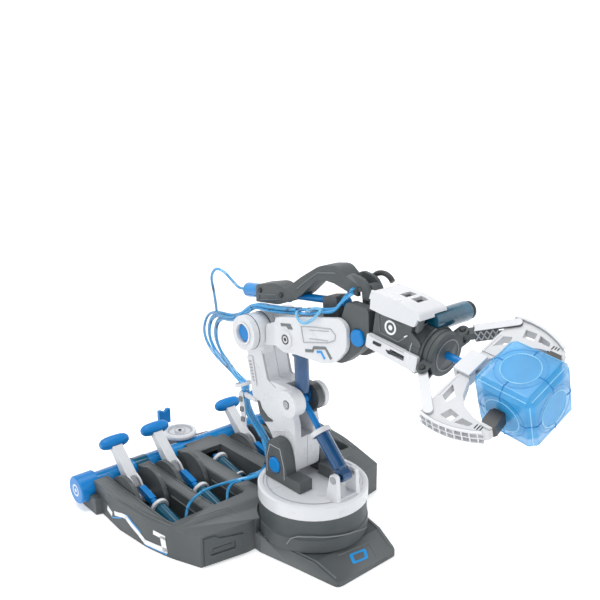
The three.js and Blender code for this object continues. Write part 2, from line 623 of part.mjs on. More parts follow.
function sideStrip() {
  const rail = plateX([[12, -1, 1.5], [12, 10, 1.5], [62, 11, 1.5], [62, -1.5, 1.5]], -22, -18 - GAP);
  const clearance = new THREE.CylinderGeometry(19.2, 19.2, 16, 36).translate(0, -56.5, ROLL_RISE);
  const slot = block([-30, -10], [36, 50], [3, 7]);
  return cut(rail, slot, clearance);
}

/** The cross-wise syringe that turns the head. */
function rollBarrel() {
  return turned([[0, 0], [8, 0], [8, 40], [6, 44], [2, 44.5], [2, 48], [0, 48]], 24)
    .rotateY(Math.PI / 2).translate(-3, -ROLL_BARREL[0], ROLL_BARREL[1]);
}

// ---------------------------------------------------------------- claw head

const DISC_FRONT = HEAD_FACE;

/** The turning head disc with its axle and the two link lugs. */
function headDisc() {
  const alongForward = (profile, sides) => turned(profile, sides).rotateX(Math.PI / 2);
  const disc = alongForward(
    [[0, -30], [4.4, -30], [4.4, -8.8], [17.2, -8.8], [17.2, -1], [16.2, 0], [0, 0]], 32);
  const lug = (side) => {
    const [r, s] = CLAW.lug;
    return join(
      pinZ(4.2, -5.4, 5.4, [side * r, s], 20),
      plateZ([[side * 12, -8.6], [side * 12, -0.5], [side * r, s + 4], [side * r, s - 4.2]], -5.4, 5.4));
  };
  const linkRoom = (side) => pinZ(9, -3.3, 3.3, [side * (CLAW.lug[0] + 3.5), CLAW.lug[1] + 1], 20);
  const hole = (side) => pinZ(1.6 + GAP, -9, 9, [side * CLAW.lug[0], CLAW.lug[1]], 14);
  const bore = new THREE.CylinderGeometry(3.1, 3.1, 80, 20);
  return cut(join(disc, lug(-1), lug(1)), linkRoom(-1), linkRoom(1), hole(-1), hole(1), bore);
}

/** A strut with round ends in the claw's plane. */
function strut(from, to, width, half) {
  const [a, b] = [from, to].map(([r, s]) => new THREE.Vector2(r, s));
  const side = b.clone().sub(a).normalize().rotateAround(new THREE.Vector2(),
    Math.PI / 2).multiplyScalar(width / 2);
  const corners = [a.clone().add(side), b.clone().add(side), b.clone().sub(side), a.clone().sub(side)];
  return join(
    plateZ(corners.map((c) => [c.x, c.y]), -half, half),
    pinZ(width / 2, -half, half, from, 20), pinZ(width / 2, -half, half, to, 20));
}

/** The link from the head's lug out to the finger's elbow, forked at the elbow. */
function clawLink(side) {
  const flip = ([r, s]) => [side * r, s];
  const [lug, elbow] = [flip(CLAW.lug), flip(CLAW.elbow)];
  const bar = strut(lug, elbow, 7, 5.6);
  const lugThin = [[3.0, 12], [-12, -3.0]].map(([low, high]) => pinZ(8.5, low, high, lug, 24));
  const fingerRoom = pinZ(14.5, -3.9, 3.9, elbow, 24);
  const pins = [pinZ(1.5, -5.2, 5.2, lug, 14), pinZ(1.5, -5.2, 5.2, elbow, 14)];
  return join(cut(bar, ...lugThin, fingerRoom), ...pins);
}

/** The black pad at a finger's tip, which holds the ball's side face. */
function fingerPad(side) {
  const reach = GEM.half + GAP;
  const pad = [[reach, 60.5], [27, 58.5], [36, 59.5], [40.5, 61], [40.5, 67.5], [36, 70], [reach, 68.5]];
  return plateZ(side < 0 ? mirrored(pad) : pad, -5, 5);
}

/** A finger: inner lever to the crosshead, the curved tine with its lightening holes, and the pad. */
function finger(side) {
  const flip = ([r, s]) => [side * r, s];
  const half = CLAW.thickness / 2;
  const tine = [[44, 20, 4], [54, 20, 5], [55, 34], [53, 47], [48.5, 59], [43, 69, 2], [38.2, 69, 1],
    [38.6, 61],
    [37.4, 53], [33.5, 43], [26.5, 35.5], [12, 29.5], [12, 19.5]];
  const plate = plateZ(side < 0 ? mirrored(tine) : tine, -half, half);
  const arm = strut(flip(CLAW.inner), flip([30, 24.4]), 9, 2.6);
  const innerX = side < 0 ? [-15, 0] : [0, 15];
  const innerThin = [[2.6, 9], [-9, -2.6]].map(([low, high]) => block(innerX, [10, 40], [low, high]));
  const windows = [
    [[22, 23.5], [34, 24], [37, 30], [30, 32]],
    [[40, 36], [48, 33.5], [48.5, 42.5], [41.5, 44.5]],
    [[42, 47.5], [48, 45.5], [45.5, 55], [42, 56.5]]];
  const holes = windows.map((w) => plateZ(side < 0 ? mirrored(w) : w, -9, 9));
  return cut(join(plate, arm, fingerPad(side)), ...innerThin, ...holes,
    pinZ(2.7, -9, 9, flip(CLAW.inner), 16), pinZ(1.5 + GAP, -9, 9, flip(CLAW.elbow), 14));
}

const CROSSHEAD = { back: 14.5, front: 28.5, half: 10.5 };

/** The plunger that works the claw: a rod through the head, and a fork with a pin for each finger. */
function plunger() {
  const { back, front, half } = CROSSHEAD;
  const [r, s] = CLAW.inner;
  const rod = new THREE.CylinderGeometry(2.8, 2.8, 24 + back + 1, 16).translate(0, 12 - (back + 1) / 2, 0);
  const fork = block([-half, half], [back, front], [-5.4, 5.4]);
  const room = block([-half - 1, half + 1], [back + 3, front + 4], [-3.1, 3.1]);
  const pins = [-1, 1].map((side) => pinZ(1.4, -5, 5, [side * r, s], 12));
  return join(cut(fork, room), rod, ...pins);
}

/** The ball: a hollow cube with narrow cuts along its edges and corners, and a round mouth at the rear. */
function gem() {
  const { half, flat, wall } = GEM;
  const shell = (inset) => {
    const [far, near] = [half - inset, flat - inset];
    const points = [];
    for (const a of [-1, 1]) for (const b of [-1, 1]) for (const c of [-1, 1]) {
      points.push([a * far, b * near, c * near], [a * near, b * far, c * near],
        [a * near, b * near, c * far]);
    }
    return new ConvexGeometry(points.map((p) => new THREE.Vector3(...p)));
  };
  const mouth = new THREE.CylinderGeometry(5, 5, 20, 20).translate(0, half, 0);
  return cut(shell(0), shell(wall), mouth).translate(0, -GEM.ahead, 0);
}

// ---------------------------------------------------------------- hoses

const DECK_HOSE = [[-94, -68.2, 8.2], [-94, -68, 14], [-92, -69, 27], [-84, -74, 35], [-66, -80, 37],
  [-46, -80, 37], [-27, -74, 38], [-14, -63, 43], [-9, -55, 53], [-8, -52, 64]];
const RISER_HOSE = [[-8, -52, 65.5], [-8, -55, 75], [-9, -63, 86], [-11, -73, 97], [-13, -79, 110],
  [-13, -80, 122.4]];
const LOOP_HOSE = [[-13, -80, 124.8], [-13, -81.6, 130], [-13, -96, 135], [-13, -114, 141], [-13, -135, 151],
  [-13, -145, 166], [-13, -139, 183], [-13, -124, 191], [-13, -99, 194], [-13, -83, 200], [-13, -64, 211],
  [-13, -44, 214], [-13, -24, 216.6], [-13, -4, 220.4]];
const TILT_HOSE = [[-13, -124, 197], [-12, -128, 210], [-10, -134, 223], [-7, -131, 231], [-4, -121, 229.5],
  [-1, -110, 221], [0, -102, 216.8]];
const FOREARM_HOSE = [[-13, -2.5, 221], [-13, 10, 224.5], [-13.4, 26, 228], [-14, 42, 233], [-13.4, 50, 243],
  [-11.5, 58, 252]];

function buildHoses() {
  part('deck_hose', hose(DECK_HOSE, 2.2, 30), LOOKS.hose);
  part('riser_hose', hose(RISER_HOSE, 4.2, 16), LOOKS.hose);
  part('loop_hose', hose(LOOP_HOSE, 4.2, 32), LOOKS.hose);
  part('tilt_hose', hose(TILT_HOSE, 1.6, 24), LOOKS.hose);
  part('forearm_hose', hose(FOREARM_HOSE, 2.2, 20), LOOKS.hose);
}

// ---------------------------------------------------------------- everything in its place

buildBase();
buildTank();
part('hand_wheel', handWheel(), LOOKS.white);
part('valve_key', valveKey(), LOOKS.blue);
part('turntable', turntable(), LOOKS.white);
part('shoulder_bracket_near', shoulderBracket(-1), LOOKS.grey);
part('shoulder_bracket_far', shoulderBracket(1), LOOKS.grey);
part('shoulder_pin', pivotPin(SHOULDER, 28, 7.4, 7.4, 2), LOOKS.blue);
part('column_near', columnNear(), LOOKS.white);
part('column_far', columnFar(), LOOKS.white);
part('knuckle_pin', knucklePin(), LOOKS.dark);
part('shoulder_barrel', slaveBarrel(SHOULDER_BARREL), LOOKS.clearTeal);
part('shoulder_rod', slaveRod(SHOULDER_ROD), LOOKS.blue);
part('elbow_barrel', slaveBarrel(ELBOW_BARREL), LOOKS.clearTeal);
part('elbow_rod', slaveRod(ELBOW_ROD), LOOKS.blue);
part('elbow_pin', pivotPin(ELBOW, 28.6, 8.2, 3.9, 2.2), LOOKS.blue);
part('forearm_core', forearmCore(), LOOKS.grey);
part('forearm_panel_near', forearmPanel(-1), LOOKS.white);
part('forearm_panel_far', forearmPanel(1), LOOKS.white);
part('wrist_pin', pivotPin(WRIST, 20.5, 6.9, 6.9, 2), LOOKS.blue);
part('tilt_rod', tiltRod(), LOOKS.blue);
part('tilt_barrel', tiltBarrel(), LOOKS.tank);
part('tilt_frame', tiltFrame(), LOOKS.grey);

const wrist = new THREE.Group();
wrist.position.set(0, -WRIST[0], WRIST[1]);
wrist.rotation.x = radians(WRIST_DROP);
robot.add(wrist);
part('wrist_housing', wristHousing(), LOOKS.grey, wrist);
part('wrist_cover', wristCover(), LOOKS.white, wrist);
part('side_strip', sideStrip(), LOOKS.white, wrist);
part('roll_barrel', rollBarrel(), LOOKS.clearTeal, wrist);

const head = new THREE.Group();
head.position.set(0, -DISC_FRONT, ROLL_RISE);
head.rotation.y = radians(-HEAD_ROLL);
wrist.add(head);
part('head_disc', headDisc(), LOOKS.grey, head);
part('plunger', plunger(), LOOKS.blue, head);
for (const [side, name] of [[-1, 'near'], [1, 'far']]) {
  part(`claw_link_${name}`, clawLink(side), side < 0 ? LOOKS.white : LOOKS.grey, head);
  part(`finger_${name}`, finger(side), LOOKS.white, head);
}
part('gem_ball', gem(), LOOKS.gem, head);
buildHoses();

export default robot;
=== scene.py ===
"""Looks for the hydraulic robot-arm kit: materials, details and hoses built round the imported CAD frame.

Sizes are in millimetres in [x, forward, up] order, as in the CAD; place() turns them into the row frame.
"""

import json
import math

import bmesh
import bpy
from mathutils import Matrix, Vector

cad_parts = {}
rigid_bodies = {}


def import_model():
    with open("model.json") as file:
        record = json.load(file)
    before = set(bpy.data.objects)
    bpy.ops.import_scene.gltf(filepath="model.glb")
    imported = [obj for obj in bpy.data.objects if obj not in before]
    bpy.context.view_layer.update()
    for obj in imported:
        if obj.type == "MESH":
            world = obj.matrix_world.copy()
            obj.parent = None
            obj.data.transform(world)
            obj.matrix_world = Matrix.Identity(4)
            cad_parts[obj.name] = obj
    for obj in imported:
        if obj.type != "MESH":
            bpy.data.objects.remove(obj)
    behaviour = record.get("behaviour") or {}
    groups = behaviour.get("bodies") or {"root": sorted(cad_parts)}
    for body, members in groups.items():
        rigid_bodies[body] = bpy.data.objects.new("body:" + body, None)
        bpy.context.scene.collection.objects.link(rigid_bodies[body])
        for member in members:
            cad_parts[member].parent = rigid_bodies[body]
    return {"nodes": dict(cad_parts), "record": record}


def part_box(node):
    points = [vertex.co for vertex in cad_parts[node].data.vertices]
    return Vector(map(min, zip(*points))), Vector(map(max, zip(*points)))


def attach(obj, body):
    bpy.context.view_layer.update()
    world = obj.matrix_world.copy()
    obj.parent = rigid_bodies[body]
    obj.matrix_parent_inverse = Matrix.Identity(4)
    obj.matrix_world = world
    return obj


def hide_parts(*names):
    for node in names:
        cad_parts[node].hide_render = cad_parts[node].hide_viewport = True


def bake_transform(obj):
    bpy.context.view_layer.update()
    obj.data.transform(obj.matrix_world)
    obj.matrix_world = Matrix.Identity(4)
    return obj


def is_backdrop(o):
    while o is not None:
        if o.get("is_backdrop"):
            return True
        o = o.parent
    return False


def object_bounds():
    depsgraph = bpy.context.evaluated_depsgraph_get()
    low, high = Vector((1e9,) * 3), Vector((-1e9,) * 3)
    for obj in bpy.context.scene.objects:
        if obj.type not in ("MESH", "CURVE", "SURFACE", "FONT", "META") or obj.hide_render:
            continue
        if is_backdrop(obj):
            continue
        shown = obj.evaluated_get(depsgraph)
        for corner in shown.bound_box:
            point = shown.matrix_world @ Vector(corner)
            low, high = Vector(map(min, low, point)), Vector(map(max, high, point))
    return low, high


for stray in list(bpy.data.objects):
    bpy.data.objects.remove(stray)
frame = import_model()
cad_box = [list(corner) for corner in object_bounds()]

MM = 0.001
GAP = 0.03  # how far a flat mark stands off its surface

# ---------------------------------------------------------------- the CAD's driving dimensions

LEVER_X = (-94, -47, 47, 94)
LEVER_PIVOT = (-147, 11.5)
LEVER_LEAN = math.radians(46)
MASTER_FRONT = (-75, 10.2)
MASTER_SLOPE = math.radians(11.5)
CHANNEL_SHIFT = (-33, 3.5)
WRIST = (70, 216)
WRIST_DROP = math.radians(8)
HEAD = (71.4, 11.5)
HEAD_ROLL = math.radians(26)
ELBOW = (-60, 189.5)
ELBOW_LINK = (-17, 193)
KNUCKLE = (-13.5, 133)
CLEVIS = (40, 79)
TILT_FOOT = (27, 233)
TILT_SLOPE = math.radians(7.2)
GEM_AHEAD = 65
TANK_AXIS = (-190, 19.5)
WHEEL = (-8.5, -205)
NEAR_WALLS = ((-105, -28), (-117, -58), (-124, -86), (-128, -128), (-126, -164))


ROW = Matrix.Identity(4)
WRIST_FRAME = Matrix.Translation((0, -WRIST[0], WRIST[1])) @ Matrix.Rotation(WRIST_DROP, 4, "X")
HEAD_FRAME = WRIST_FRAME @ Matrix.Translation((0, -HEAD[0], HEAD[1])) @ Matrix.Rotation(-HEAD_ROLL, 4, "Y")

# ---------------------------------------------------------------- camera, light and floor

CAMERA = {"azimuth": -41.57, "elevation": 16.36, "right": -11.7, "up": 218.43, "distance": 739.75,
    "lens": 48.01}


def add_camera():
    """The camera looks at a point given by its distances along the picture's right and up directions."""
    a, e = math.radians(CAMERA["azimuth"]), math.radians(CAMERA["elevation"])
    back = Vector((math.sin(a) * math.cos(e), -math.cos(a) * math.cos(e), math.sin(e)))
    right = Vector((math.cos(a), math.sin(a), 0))
    up = back.cross(right)
    at = (right * CAMERA["right"] + up * CAMERA["up"] + back * CAMERA["distance"]) * MM
    data = bpy.data.cameras.new("camera")
    data.lens = CAMERA["lens"]
    data.sensor_width = 36
    data.clip_start = 0.01
    camera = bpy.data.objects.new("camera", data)
    turn = Matrix((right, up, back)).transposed().to_4x4()
    camera.matrix_world = Matrix.Translation(at) @ turn
    bpy.context.collection.objects.link(camera)
    bpy.context.scene.camera = camera


def add_light(name, position, size, watts):
    """A soft square light that points at the arm's middle."""
    data = bpy.data.lights.new(name, "AREA")
    data.size = size
    data.energy = watts
    light = bpy.data.objects.new(name, data)
    light.location = position
    aim = Vector((0, 0.02, 0.13)) - Vector(position)
    light.rotation_euler = aim.to_track_quat("-Z", "Y").to_euler()
    bpy.context.collection.objects.link(light)


def add_studio():
    world = bpy.data.worlds.new("studio")
    world.use_nodes = True
    sky = world.node_tree.nodes["Background"]
    sky.inputs["Color"].default_value = (0.93, 0.96, 1.0, 1)
    sky.inputs["Strength"].default_value = 0.3
    bpy.context.scene.world = world
    add_light("key", (-0.4, 0.05, 1.5), 0.6, 8.5)
    add_light("fill", (0.9, -0.9, 0.8), 1.1, 0.8)
    add_light("top", (0.2, 0.3, 1.45), 0.9, 6)
    add_floor()
    bpy.context.scene.view_settings.view_transform = "Standard"


FLOOR_REACH = 2.2
FLOOR_RISE = 1.6


def add_floor():
    """A round pale floor whose edge sweeps up into a wall."""
    bm = bmesh.new()
    sides = 64
    profile = [(FLOOR_REACH, 0.0)]
    for k in range(1, 9):
        turn = math.pi / 2 * k / 8
        profile.append((FLOOR_REACH + FLOOR_RISE * math.sin(turn), FLOOR_RISE * (1 - math.cos(turn))))
    profile.append((profile[-1][0], 3.2))
    rings = []
    for r, z in profile:
        turns = [2 * math.pi * k / sides for k in range(sides)]
        rings.append([bm.verts.new((r * math.cos(a), r * math.sin(a), z)) for a in turns])
    bm.faces.new(rings[0])
    for low, high in zip(rings, rings[1:]):
        for k in range(sides):
            n = (k + 1) % sides
            bm.faces.new((low[k], low[n], high[n], high[k]))
    bmesh.ops.recalc_face_normals(bm, faces=bm.faces)
    bmesh.ops.reverse_faces(bm, faces=bm.faces)
    mesh = bpy.data.meshes.new("floor")
    bm.to_mesh(mesh)
    bm.free()
    mesh.shade_smooth()
    floor = bpy.data.objects.new("floor", mesh)
    floor.location = (0, 0, -0.0004)
    floor_look = bpy.data.materials.new("floor")
    floor_look.use_nodes = True
    shader = floor_look.node_tree.nodes["Principled BSDF"]
    shader.inputs["Base Color"].default_value = (0.95, 0.955, 0.96, 1)
    shader.inputs["Roughness"].default_value = 0.8
    shader.inputs["Specular IOR Level"].default_value = 0.2
    shader.inputs["Emission Color"].default_value = (1, 1, 1, 1)
    shader.inputs["Emission Strength"].default_value = 0.36
    mesh.materials.append(floor_look)
    bpy.context.collection.objects.link(floor)
    floor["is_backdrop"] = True


# ---------------------------------------------------------------- materials


def node_of(tree, kind, **values):
    node = tree.nodes.new(kind)
    for name, value in values.items():
        if name in node.inputs:
            node.inputs[name].default_value = value
        else:
            setattr(node, name, value)
    return node


def noise(tree, scale, detail=3.0):
    """Noise in the object's own metres, so that it keeps its scale on every piece."""
    where = node_of(tree, "ShaderNodeTexCoord").outputs["Object"]
    pattern = node_of(tree, "ShaderNodeTexNoise", Scale=scale, Detail=detail, Roughness=0.55)
    tree.links.new(where, pattern.inputs["Vector"])
    return pattern.outputs["Fac"]


NOISE_MIDDLE = (0.3, 0.7)
# the band of pointiness where convex edges are painted lighter, as a highlight
EDGE_HIGHLIGHT_BAND = (0.52, 0.62)
SPECK = (0.62, 0.66)


def spread(tree, value, low, high, band=NOISE_MIDDLE):
    """Maps a band of a value, by default the middle of a noise, onto a range."""
    node = node_of(tree, "ShaderNodeMapRange")
    node.inputs["From Min"].default_value = band[0]
    node.inputs["From Max"].default_value = band[1]
    node.inputs["To Min"].default_value = low
    node.inputs["To Max"].default_value = high
    tree.links.new(value, node.inputs["Value"])
    return node.outputs["Result"]


def overlaid(tree, below, color, where):
    """Lays one colour over a colour socket where a factor socket says."""
    mixed = node_of(tree, "ShaderNodeMix", data_type="RGBA")
    mixed.inputs[7].default_value = color + (1,)
    tree.links.new(where, mixed.inputs[0])
    tree.links.new(below, mixed.inputs[6])
    return mixed.outputs[2]


def moulded(name, color, roughness, grain, shade=0.08, edge=0.0, alpha=1.0, sheen=0.5, clear=0.0,
    specks=None):
    """Moulded plastic: fine grain, soft random tone changes, edges painted lighter as a highlight, and specks
    where it has them.
    """
    look = bpy.data.materials.new(name)
    look.use_nodes = True
    tree = look.node_tree
    shader = tree.nodes["Principled BSDF"]
    shader.inputs["Specular IOR Level"].default_value = sheen
    shader.inputs["Coat Weight"].default_value = clear
    shader.inputs["Coat Roughness"].default_value = 0.12
    shader.inputs["Alpha"].default_value = alpha
    dark = tuple(channel * (1 - shade) for channel in color) + (1,)
    light = tuple(min(1, channel * (1 + shade)) for channel in color) + (1,)
    tint = node_of(tree, "ShaderNodeMix", data_type="RGBA")
    tint.inputs[6].default_value = dark
    tint.inputs[7].default_value = light
    tree.links.new(spread(tree, noise(tree, 22), 0, 1), tint.inputs[0])
    out = tint.outputs[2]
    if edge:
        # convex edges painted lighter: a painted highlight along them
        edge_highlight = tuple(min(1, channel + edge) for channel in color)
        pointed = node_of(tree, "ShaderNodeNewGeometry").outputs["Pointiness"]
        out = overlaid(tree, out, edge_highlight, spread(tree, pointed, 0, 1, EDGE_HIGHLIGHT_BAND))
    if specks:
        out = overlaid(tree, out, specks, spread(tree, noise(tree, 130, detail=1.0), 0, 1, SPECK))
    tree.links.new(out, shader.inputs["Base Color"])
    tree.links.new(spread(tree, noise(tree, 60), roughness - 0.05, roughness + 0.07),
        shader.inputs["Roughness"])
    bump = node_of(tree, "ShaderNodeBump", Strength=grain, Distance=0.0002)
    tree.links.new(noise(tree, 1800), bump.inputs["Height"])
    tree.links.new(bump.outputs["Normal"], shader.inputs["Normal"])
    return look


def two_tone(look, limits, color):
    """Paints a second colour where the object's place along each axis is past its limit (metres)."""
    tree = look.node_tree
    shader = tree.nodes["Principled BSDF"]
    before = shader.inputs["Base Color"].links[0].from_socket
    where = node_of(tree, "ShaderNodeTexCoord").outputs["Object"]
    chosen = None
    for axis, limit in limits:
        along = node_of(tree, "ShaderNodeVectorMath", operation="DOT_PRODUCT")
        along.inputs[1].default_value = axis
        tree.links.new(where, along.inputs[0])
        past = node_of(tree, "ShaderNodeMath", operation="GREATER_THAN")
        past.inputs[1].default_value = limit
        tree.links.new(along.outputs["Value"], past.inputs[0])
        if chosen is None:
            chosen = past.outputs["Value"]
            continue
        both = node_of(tree, "ShaderNodeMath", operation="MULTIPLY")
        tree.links.new(chosen, both.inputs[0])
        tree.links.new(past.outputs["Value"], both.inputs[1])
        chosen = both.outputs["Value"]
    tree.links.new(overlaid(tree, before, color, chosen), shader.inputs["Base Color"])
    return look


DOT_SHARE = 0.45  # how much of a printed ring's inner radius its dot takes


def ringed(look, centre, band, color):
    """Prints a ring and its dot round an axis along X; the centre is (forward, up), all in mm."""
    tree = look.node_tree
    shader = tree.nodes["Principled BSDF"]
    before = shader.inputs["Base Color"].links[0].from_socket
    flat = node_of(tree, "ShaderNodeVectorMath", operation="MULTIPLY")
    flat.inputs[1].default_value = (0, 1, 1)
    tree.links.new(node_of(tree, "ShaderNodeTexCoord").outputs["Object"], flat.inputs[0])
    reach = node_of(tree, "ShaderNodeVectorMath", operation="DISTANCE")
    reach.inputs[1].default_value = (0, -centre[0] * MM, centre[1] * MM)
    tree.links.new(flat.outputs["Vector"], reach.inputs[0])
    inner, outer = band
    steps = node_of(tree, "ShaderNodeValToRGB")
    steps.color_ramp.interpolation = "CONSTANT"
    marks = steps.color_ramp.elements
    marks[0].color = (1, 1, 1, 1)
    marks[1].position = DOT_SHARE * inner / outer
    marks[1].color = (0, 0, 0, 1)
    marks.new(inner / outer).color = (1, 1, 1, 1)
    marks.new(1.0).color = (0, 0, 0, 1)
    whole = node_of(tree, "ShaderNodeMath", operation="DIVIDE")
    whole.inputs[1].default_value = outer * MM
    tree.links.new(reach.outputs["Value"], whole.inputs[0])
    tree.links.new(whole.outputs["Value"], steps.inputs["Fac"])
    tree.links.new(overlaid(tree, before, color, steps.outputs["Color"]), shader.inputs["Base Color"])
    return look


GREY = (0.062, 0.072, 0.075)
WHITE = (0.69, 0.70, 0.72)
BLUE = (0.0, 0.20, 0.56)
NAVY = (0.005, 0.03, 0.12)
# the fingers' white plastic, painted darker than WHITE as shade on the fingers
SHADED_FINGER_WHITE = (0.62, 0.625, 0.635)

LOOKS = {
    "grey": moulded("grey_plastic", GREY, 0.5, 0.35, edge=0.07, sheen=0.4),
    "pale_grey": moulded("pale_grey_plastic", (0.13, 0.145, 0.15), 0.45, 0.3, edge=0.07),
    "dark": moulded("black_plastic", (0.022, 0.024, 0.026), 0.5, 0.3, edge=0.05),
    "groove": moulded("groove_shadow", (0.03, 0.034, 0.036), 0.7, 0.2),
    "white": moulded("white_plastic", WHITE, 0.3, 0.12, shade=0.02, clear=0.15),
    # a mid grey for seam lines; also used as painted shade in steps, holes, slots and pockets
    "soft_line": moulded("soft_line", (0.42, 0.43, 0.45), 0.5, 0.1),
    "blue": moulded("blue_plastic", BLUE, 0.36, 0.15, sheen=0.35, clear=0.04),
    "decal_blue": moulded("blue_print", (0.01, 0.30, 0.72), 0.35, 0.05),
    "decal_white": moulded("white_print", (0.86, 0.87, 0.88), 0.35, 0.05, shade=0.02),
    "metal": moulded("grey_metal", (0.30, 0.31, 0.32), 0.32, 0.1, sheen=1.0),
    "clear_teal": moulded("clear_teal", (0.0, 0.09, 0.16), 0.1, 0.02, shade=0.3, alpha=0.95, clear=0.7),
    "clear_navy": moulded("clear_navy", (0.0, 0.06, 0.18), 0.08, 0.02, shade=0.4, alpha=0.97, clear=0.6),
    "clear_blue": moulded("clear_blue", (0.0, 0.235, 0.60), 0.18, 0.02, shade=0.15, alpha=0.92, clear=0.6),
    "clear_gem": moulded("clear_gem", (0.05, 0.42, 0.86), 0.1, 0.01, shade=0.25, alpha=0.6, clear=0.4),
    # a painted highlight colour for the ball's edges and the lips of its windows
    "gem_highlight": moulded("gem_highlight", (0.30, 0.68, 0.95), 0.15, 0.01, alpha=0.85),
    "gem_line": moulded("gem_line", (0.008, 0.24, 0.62), 0.2, 0.01, alpha=0.8),
    "hose": moulded("hose", (0.04, 0.37, 0.74), 0.14, 0.02, shade=0.3, alpha=0.78, clear=0.7, specks=NAVY),
    "pale_hose": moulded("pale_hose", (0.16, 0.52, 0.80), 0.14, 0.02, alpha=0.72, clear=0.7),
}

# ---------------------------------------------------------------- the CAD nodes' own finish

SHARP = math.radians(32)
SIDES = ((-1, "near"), (1, "far"))
OTHER_BEVEL = (0.4, 30)
NODE_LOOKS = {"shoulder_barrel": "clear_navy", "elbow_barrel": "clear_navy"}
BEVELS = {  # width in mm, and the least angle in degrees that is rounded
    "base_shell": (0.7, 11), "turntable": (0.7, 30), "wrist_housing": (0.6, 20), "tilt_frame": (0.9, 24),
    "forearm_core": (0.8, 20), "column_near": (1.0, 24), "column_far": (0.6, 24),
    "forearm_panel_near": (0.9, 24),
    "forearm_panel_far": (0.9, 24), "wrist_cover": (0.8, 24), "shoulder_bracket_near": (0.9, 24),
    "shoulder_bracket_far": (0.9, 24),
}


def head_axis(across, ahead, up):
    """A direction of the claw's plane, and where the disc's centre lies along it in metres."""
    axis = (HEAD_FRAME.to_3x3() @ Vector((across, -ahead, up))).normalized()
    return axis, (HEAD_FRAME.translation * MM) @ axis


def special_looks():
    """The looks of nodes that are moulded in one piece but show two colours."""
    looks = {"knuckle_pin": LOOKS["white"]}
    hub = moulded("forearm_plastic", GREY, 0.5, 0.35, edge=0.07, sheen=0.4)
    looks["forearm_core"] = two_tone(hub, [((0, 1, 0), 0.022)], WHITE)
    boss = [((0, -1, 0), -0.027), ((0, 0, 1), 0.1185), ((0, 0, -1), -0.1475)]
    looks["column_far"] = two_tone(moulded("column_plastic", WHITE, 0.3, 0.12, shade=0.02, clear=0.15), boss,
        GREY)
    looks["tank_cap_near"] = ringed(moulded("cap_plastic", BLUE, 0.34, 0.15, clear=0.08), TANK_AXIS,
        (4.4, 6.2), WHITE)
    ahead, disc = head_axis(0, 1, 0)
    plunger = moulded("plunger_plastic", BLUE, 0.3, 0.15, clear=0.2)
    looks["plunger"] = two_tone(plunger, [(ahead, disc + 0.0135)], WHITE)
    for side, tail in SIDES:
        inwards, centre = head_axis(-side, 0, 0)
        finger = moulded(f"finger_plastic_{tail}", SHADED_FINGER_WHITE, 0.34, 0.12, shade=0.02)
        pad = [(inwards, centre - 0.03835), (ahead, disc + 0.0575)]
        looks[f"finger_{tail}"] = two_tone(finger, pad, (0.035, 0.033, 0.032))
    above, middle = head_axis(0, 0, 1)
    looks["claw_link_far"] = two_tone(moulded("far_link", GREY, 0.46, 0.3), [(above, middle + 0.0052)], WHITE)
    return looks


def bevelled(piece, width, least):
    """Rounds the edges sharper than an angle."""
    bevel = piece.modifiers.new("bevel", "BEVEL")
    bevel.width = width * MM
    bevel.segments = 2
    bevel.limit_method = "ANGLE"
    bevel.angle_limit = least
    bevel.harden_normals = True


def soften(piece, width, least):
    """Rounds a piece's edges and shades its flats flat."""
    weld = piece.modifiers.new("weld", "WELD")
    weld.merge_threshold = 0.00001
    flat = piece.modifiers.new("flat", "DECIMATE")
    flat.decimate_type = "DISSOLVE"
    flat.angle_limit = math.radians(0.6)
    bevelled(piece, width, math.radians(least))
    normals = piece.modifiers.new("normals", "WEIGHTED_NORMAL")
    normals.weight = 60


def finish_cad_nodes():
    slots = {row["node"]: row["material_slot"] for row in frame["record"]["subparts"]}
    special = special_looks()
    for name, node in frame["nodes"].items():
        mesh = node.data
        if "custom_normal" in mesh.attributes:
            mesh.attributes.remove(mesh.attributes["custom_normal"])
        mesh.shade_smooth()
        look = special.get(name) or LOOKS[NODE_LOOKS.get(name, slots[name])]
        for slot in node.material_slots:
            slot.material = look
        soften(node, *BEVELS.get(name, OTHER_BEVEL))


# ---------------------------------------------------------------- building pieces


def make_piece(name, bm, look, body, at=ROW, bevel=0.25, smooth=SHARP):
    """Turns a bmesh in millimetres into a piece that rides on a body."""
    bmesh.ops.recalc_face_normals(bm, faces=bm.faces)
    mesh = bpy.data.meshes.new(name)
    bm.to_mesh(mesh)
    bm.free()
    mesh.transform(Matrix.Scale(MM, 4) @ at)
    mesh.shade_smooth()
    mesh.set_sharp_from_angle(angle=smooth)
    mesh.materials.append(LOOKS[look])
    piece = bpy.data.objects.new(name, mesh)
    bpy.context.collection.objects.link(piece)
    if bevel:
        bevelled(piece, bevel, SHARP)
    if body:
        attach(piece, body)
    return piece


def prism(outline, to_point, depth, holes=()):
    """A flat shape with holes, made into a plate: to_point maps (a, b, 0 or depth) to x, y, z."""
    bm = bmesh.new()
    edges = []
    for ring in (outline, *holes):
        corners = [bm.verts.new(to_point(a, b, 0)) for a, b in ring]
        edges += [bm.edges.new(pair) for pair in zip(corners, corners[1:] + corners[:1])]
    if holes:
        bmesh.ops.triangle_fill(bm, edges=edges, use_beauty=True, use_dissolve=False)
    else:
        bm.faces.new(corners)
    grown = bmesh.ops.extrude_face_region(bm, geom=bm.faces[:])
    shift = Vector(to_point(0, 0, depth)) - Vector(to_point(0, 0, 0))
    bmesh.ops.translate(bm, vec=shift, verts=[v for v in grown["geom"] if isinstance(v, bmesh.types.BMVert)])
    return bm


def side_plate(name, outline, x0, x1, look, body, at=ROW, bevel=0.25, holes=()):
    """A plate in the arm's side plane, from a list of (forward, up)."""
    bm = prism(outline, lambda f, z, d: (x0 + d, -f, z), x1 - x0, holes)
    return make_piece(name, bm, look, body, at, bevel)


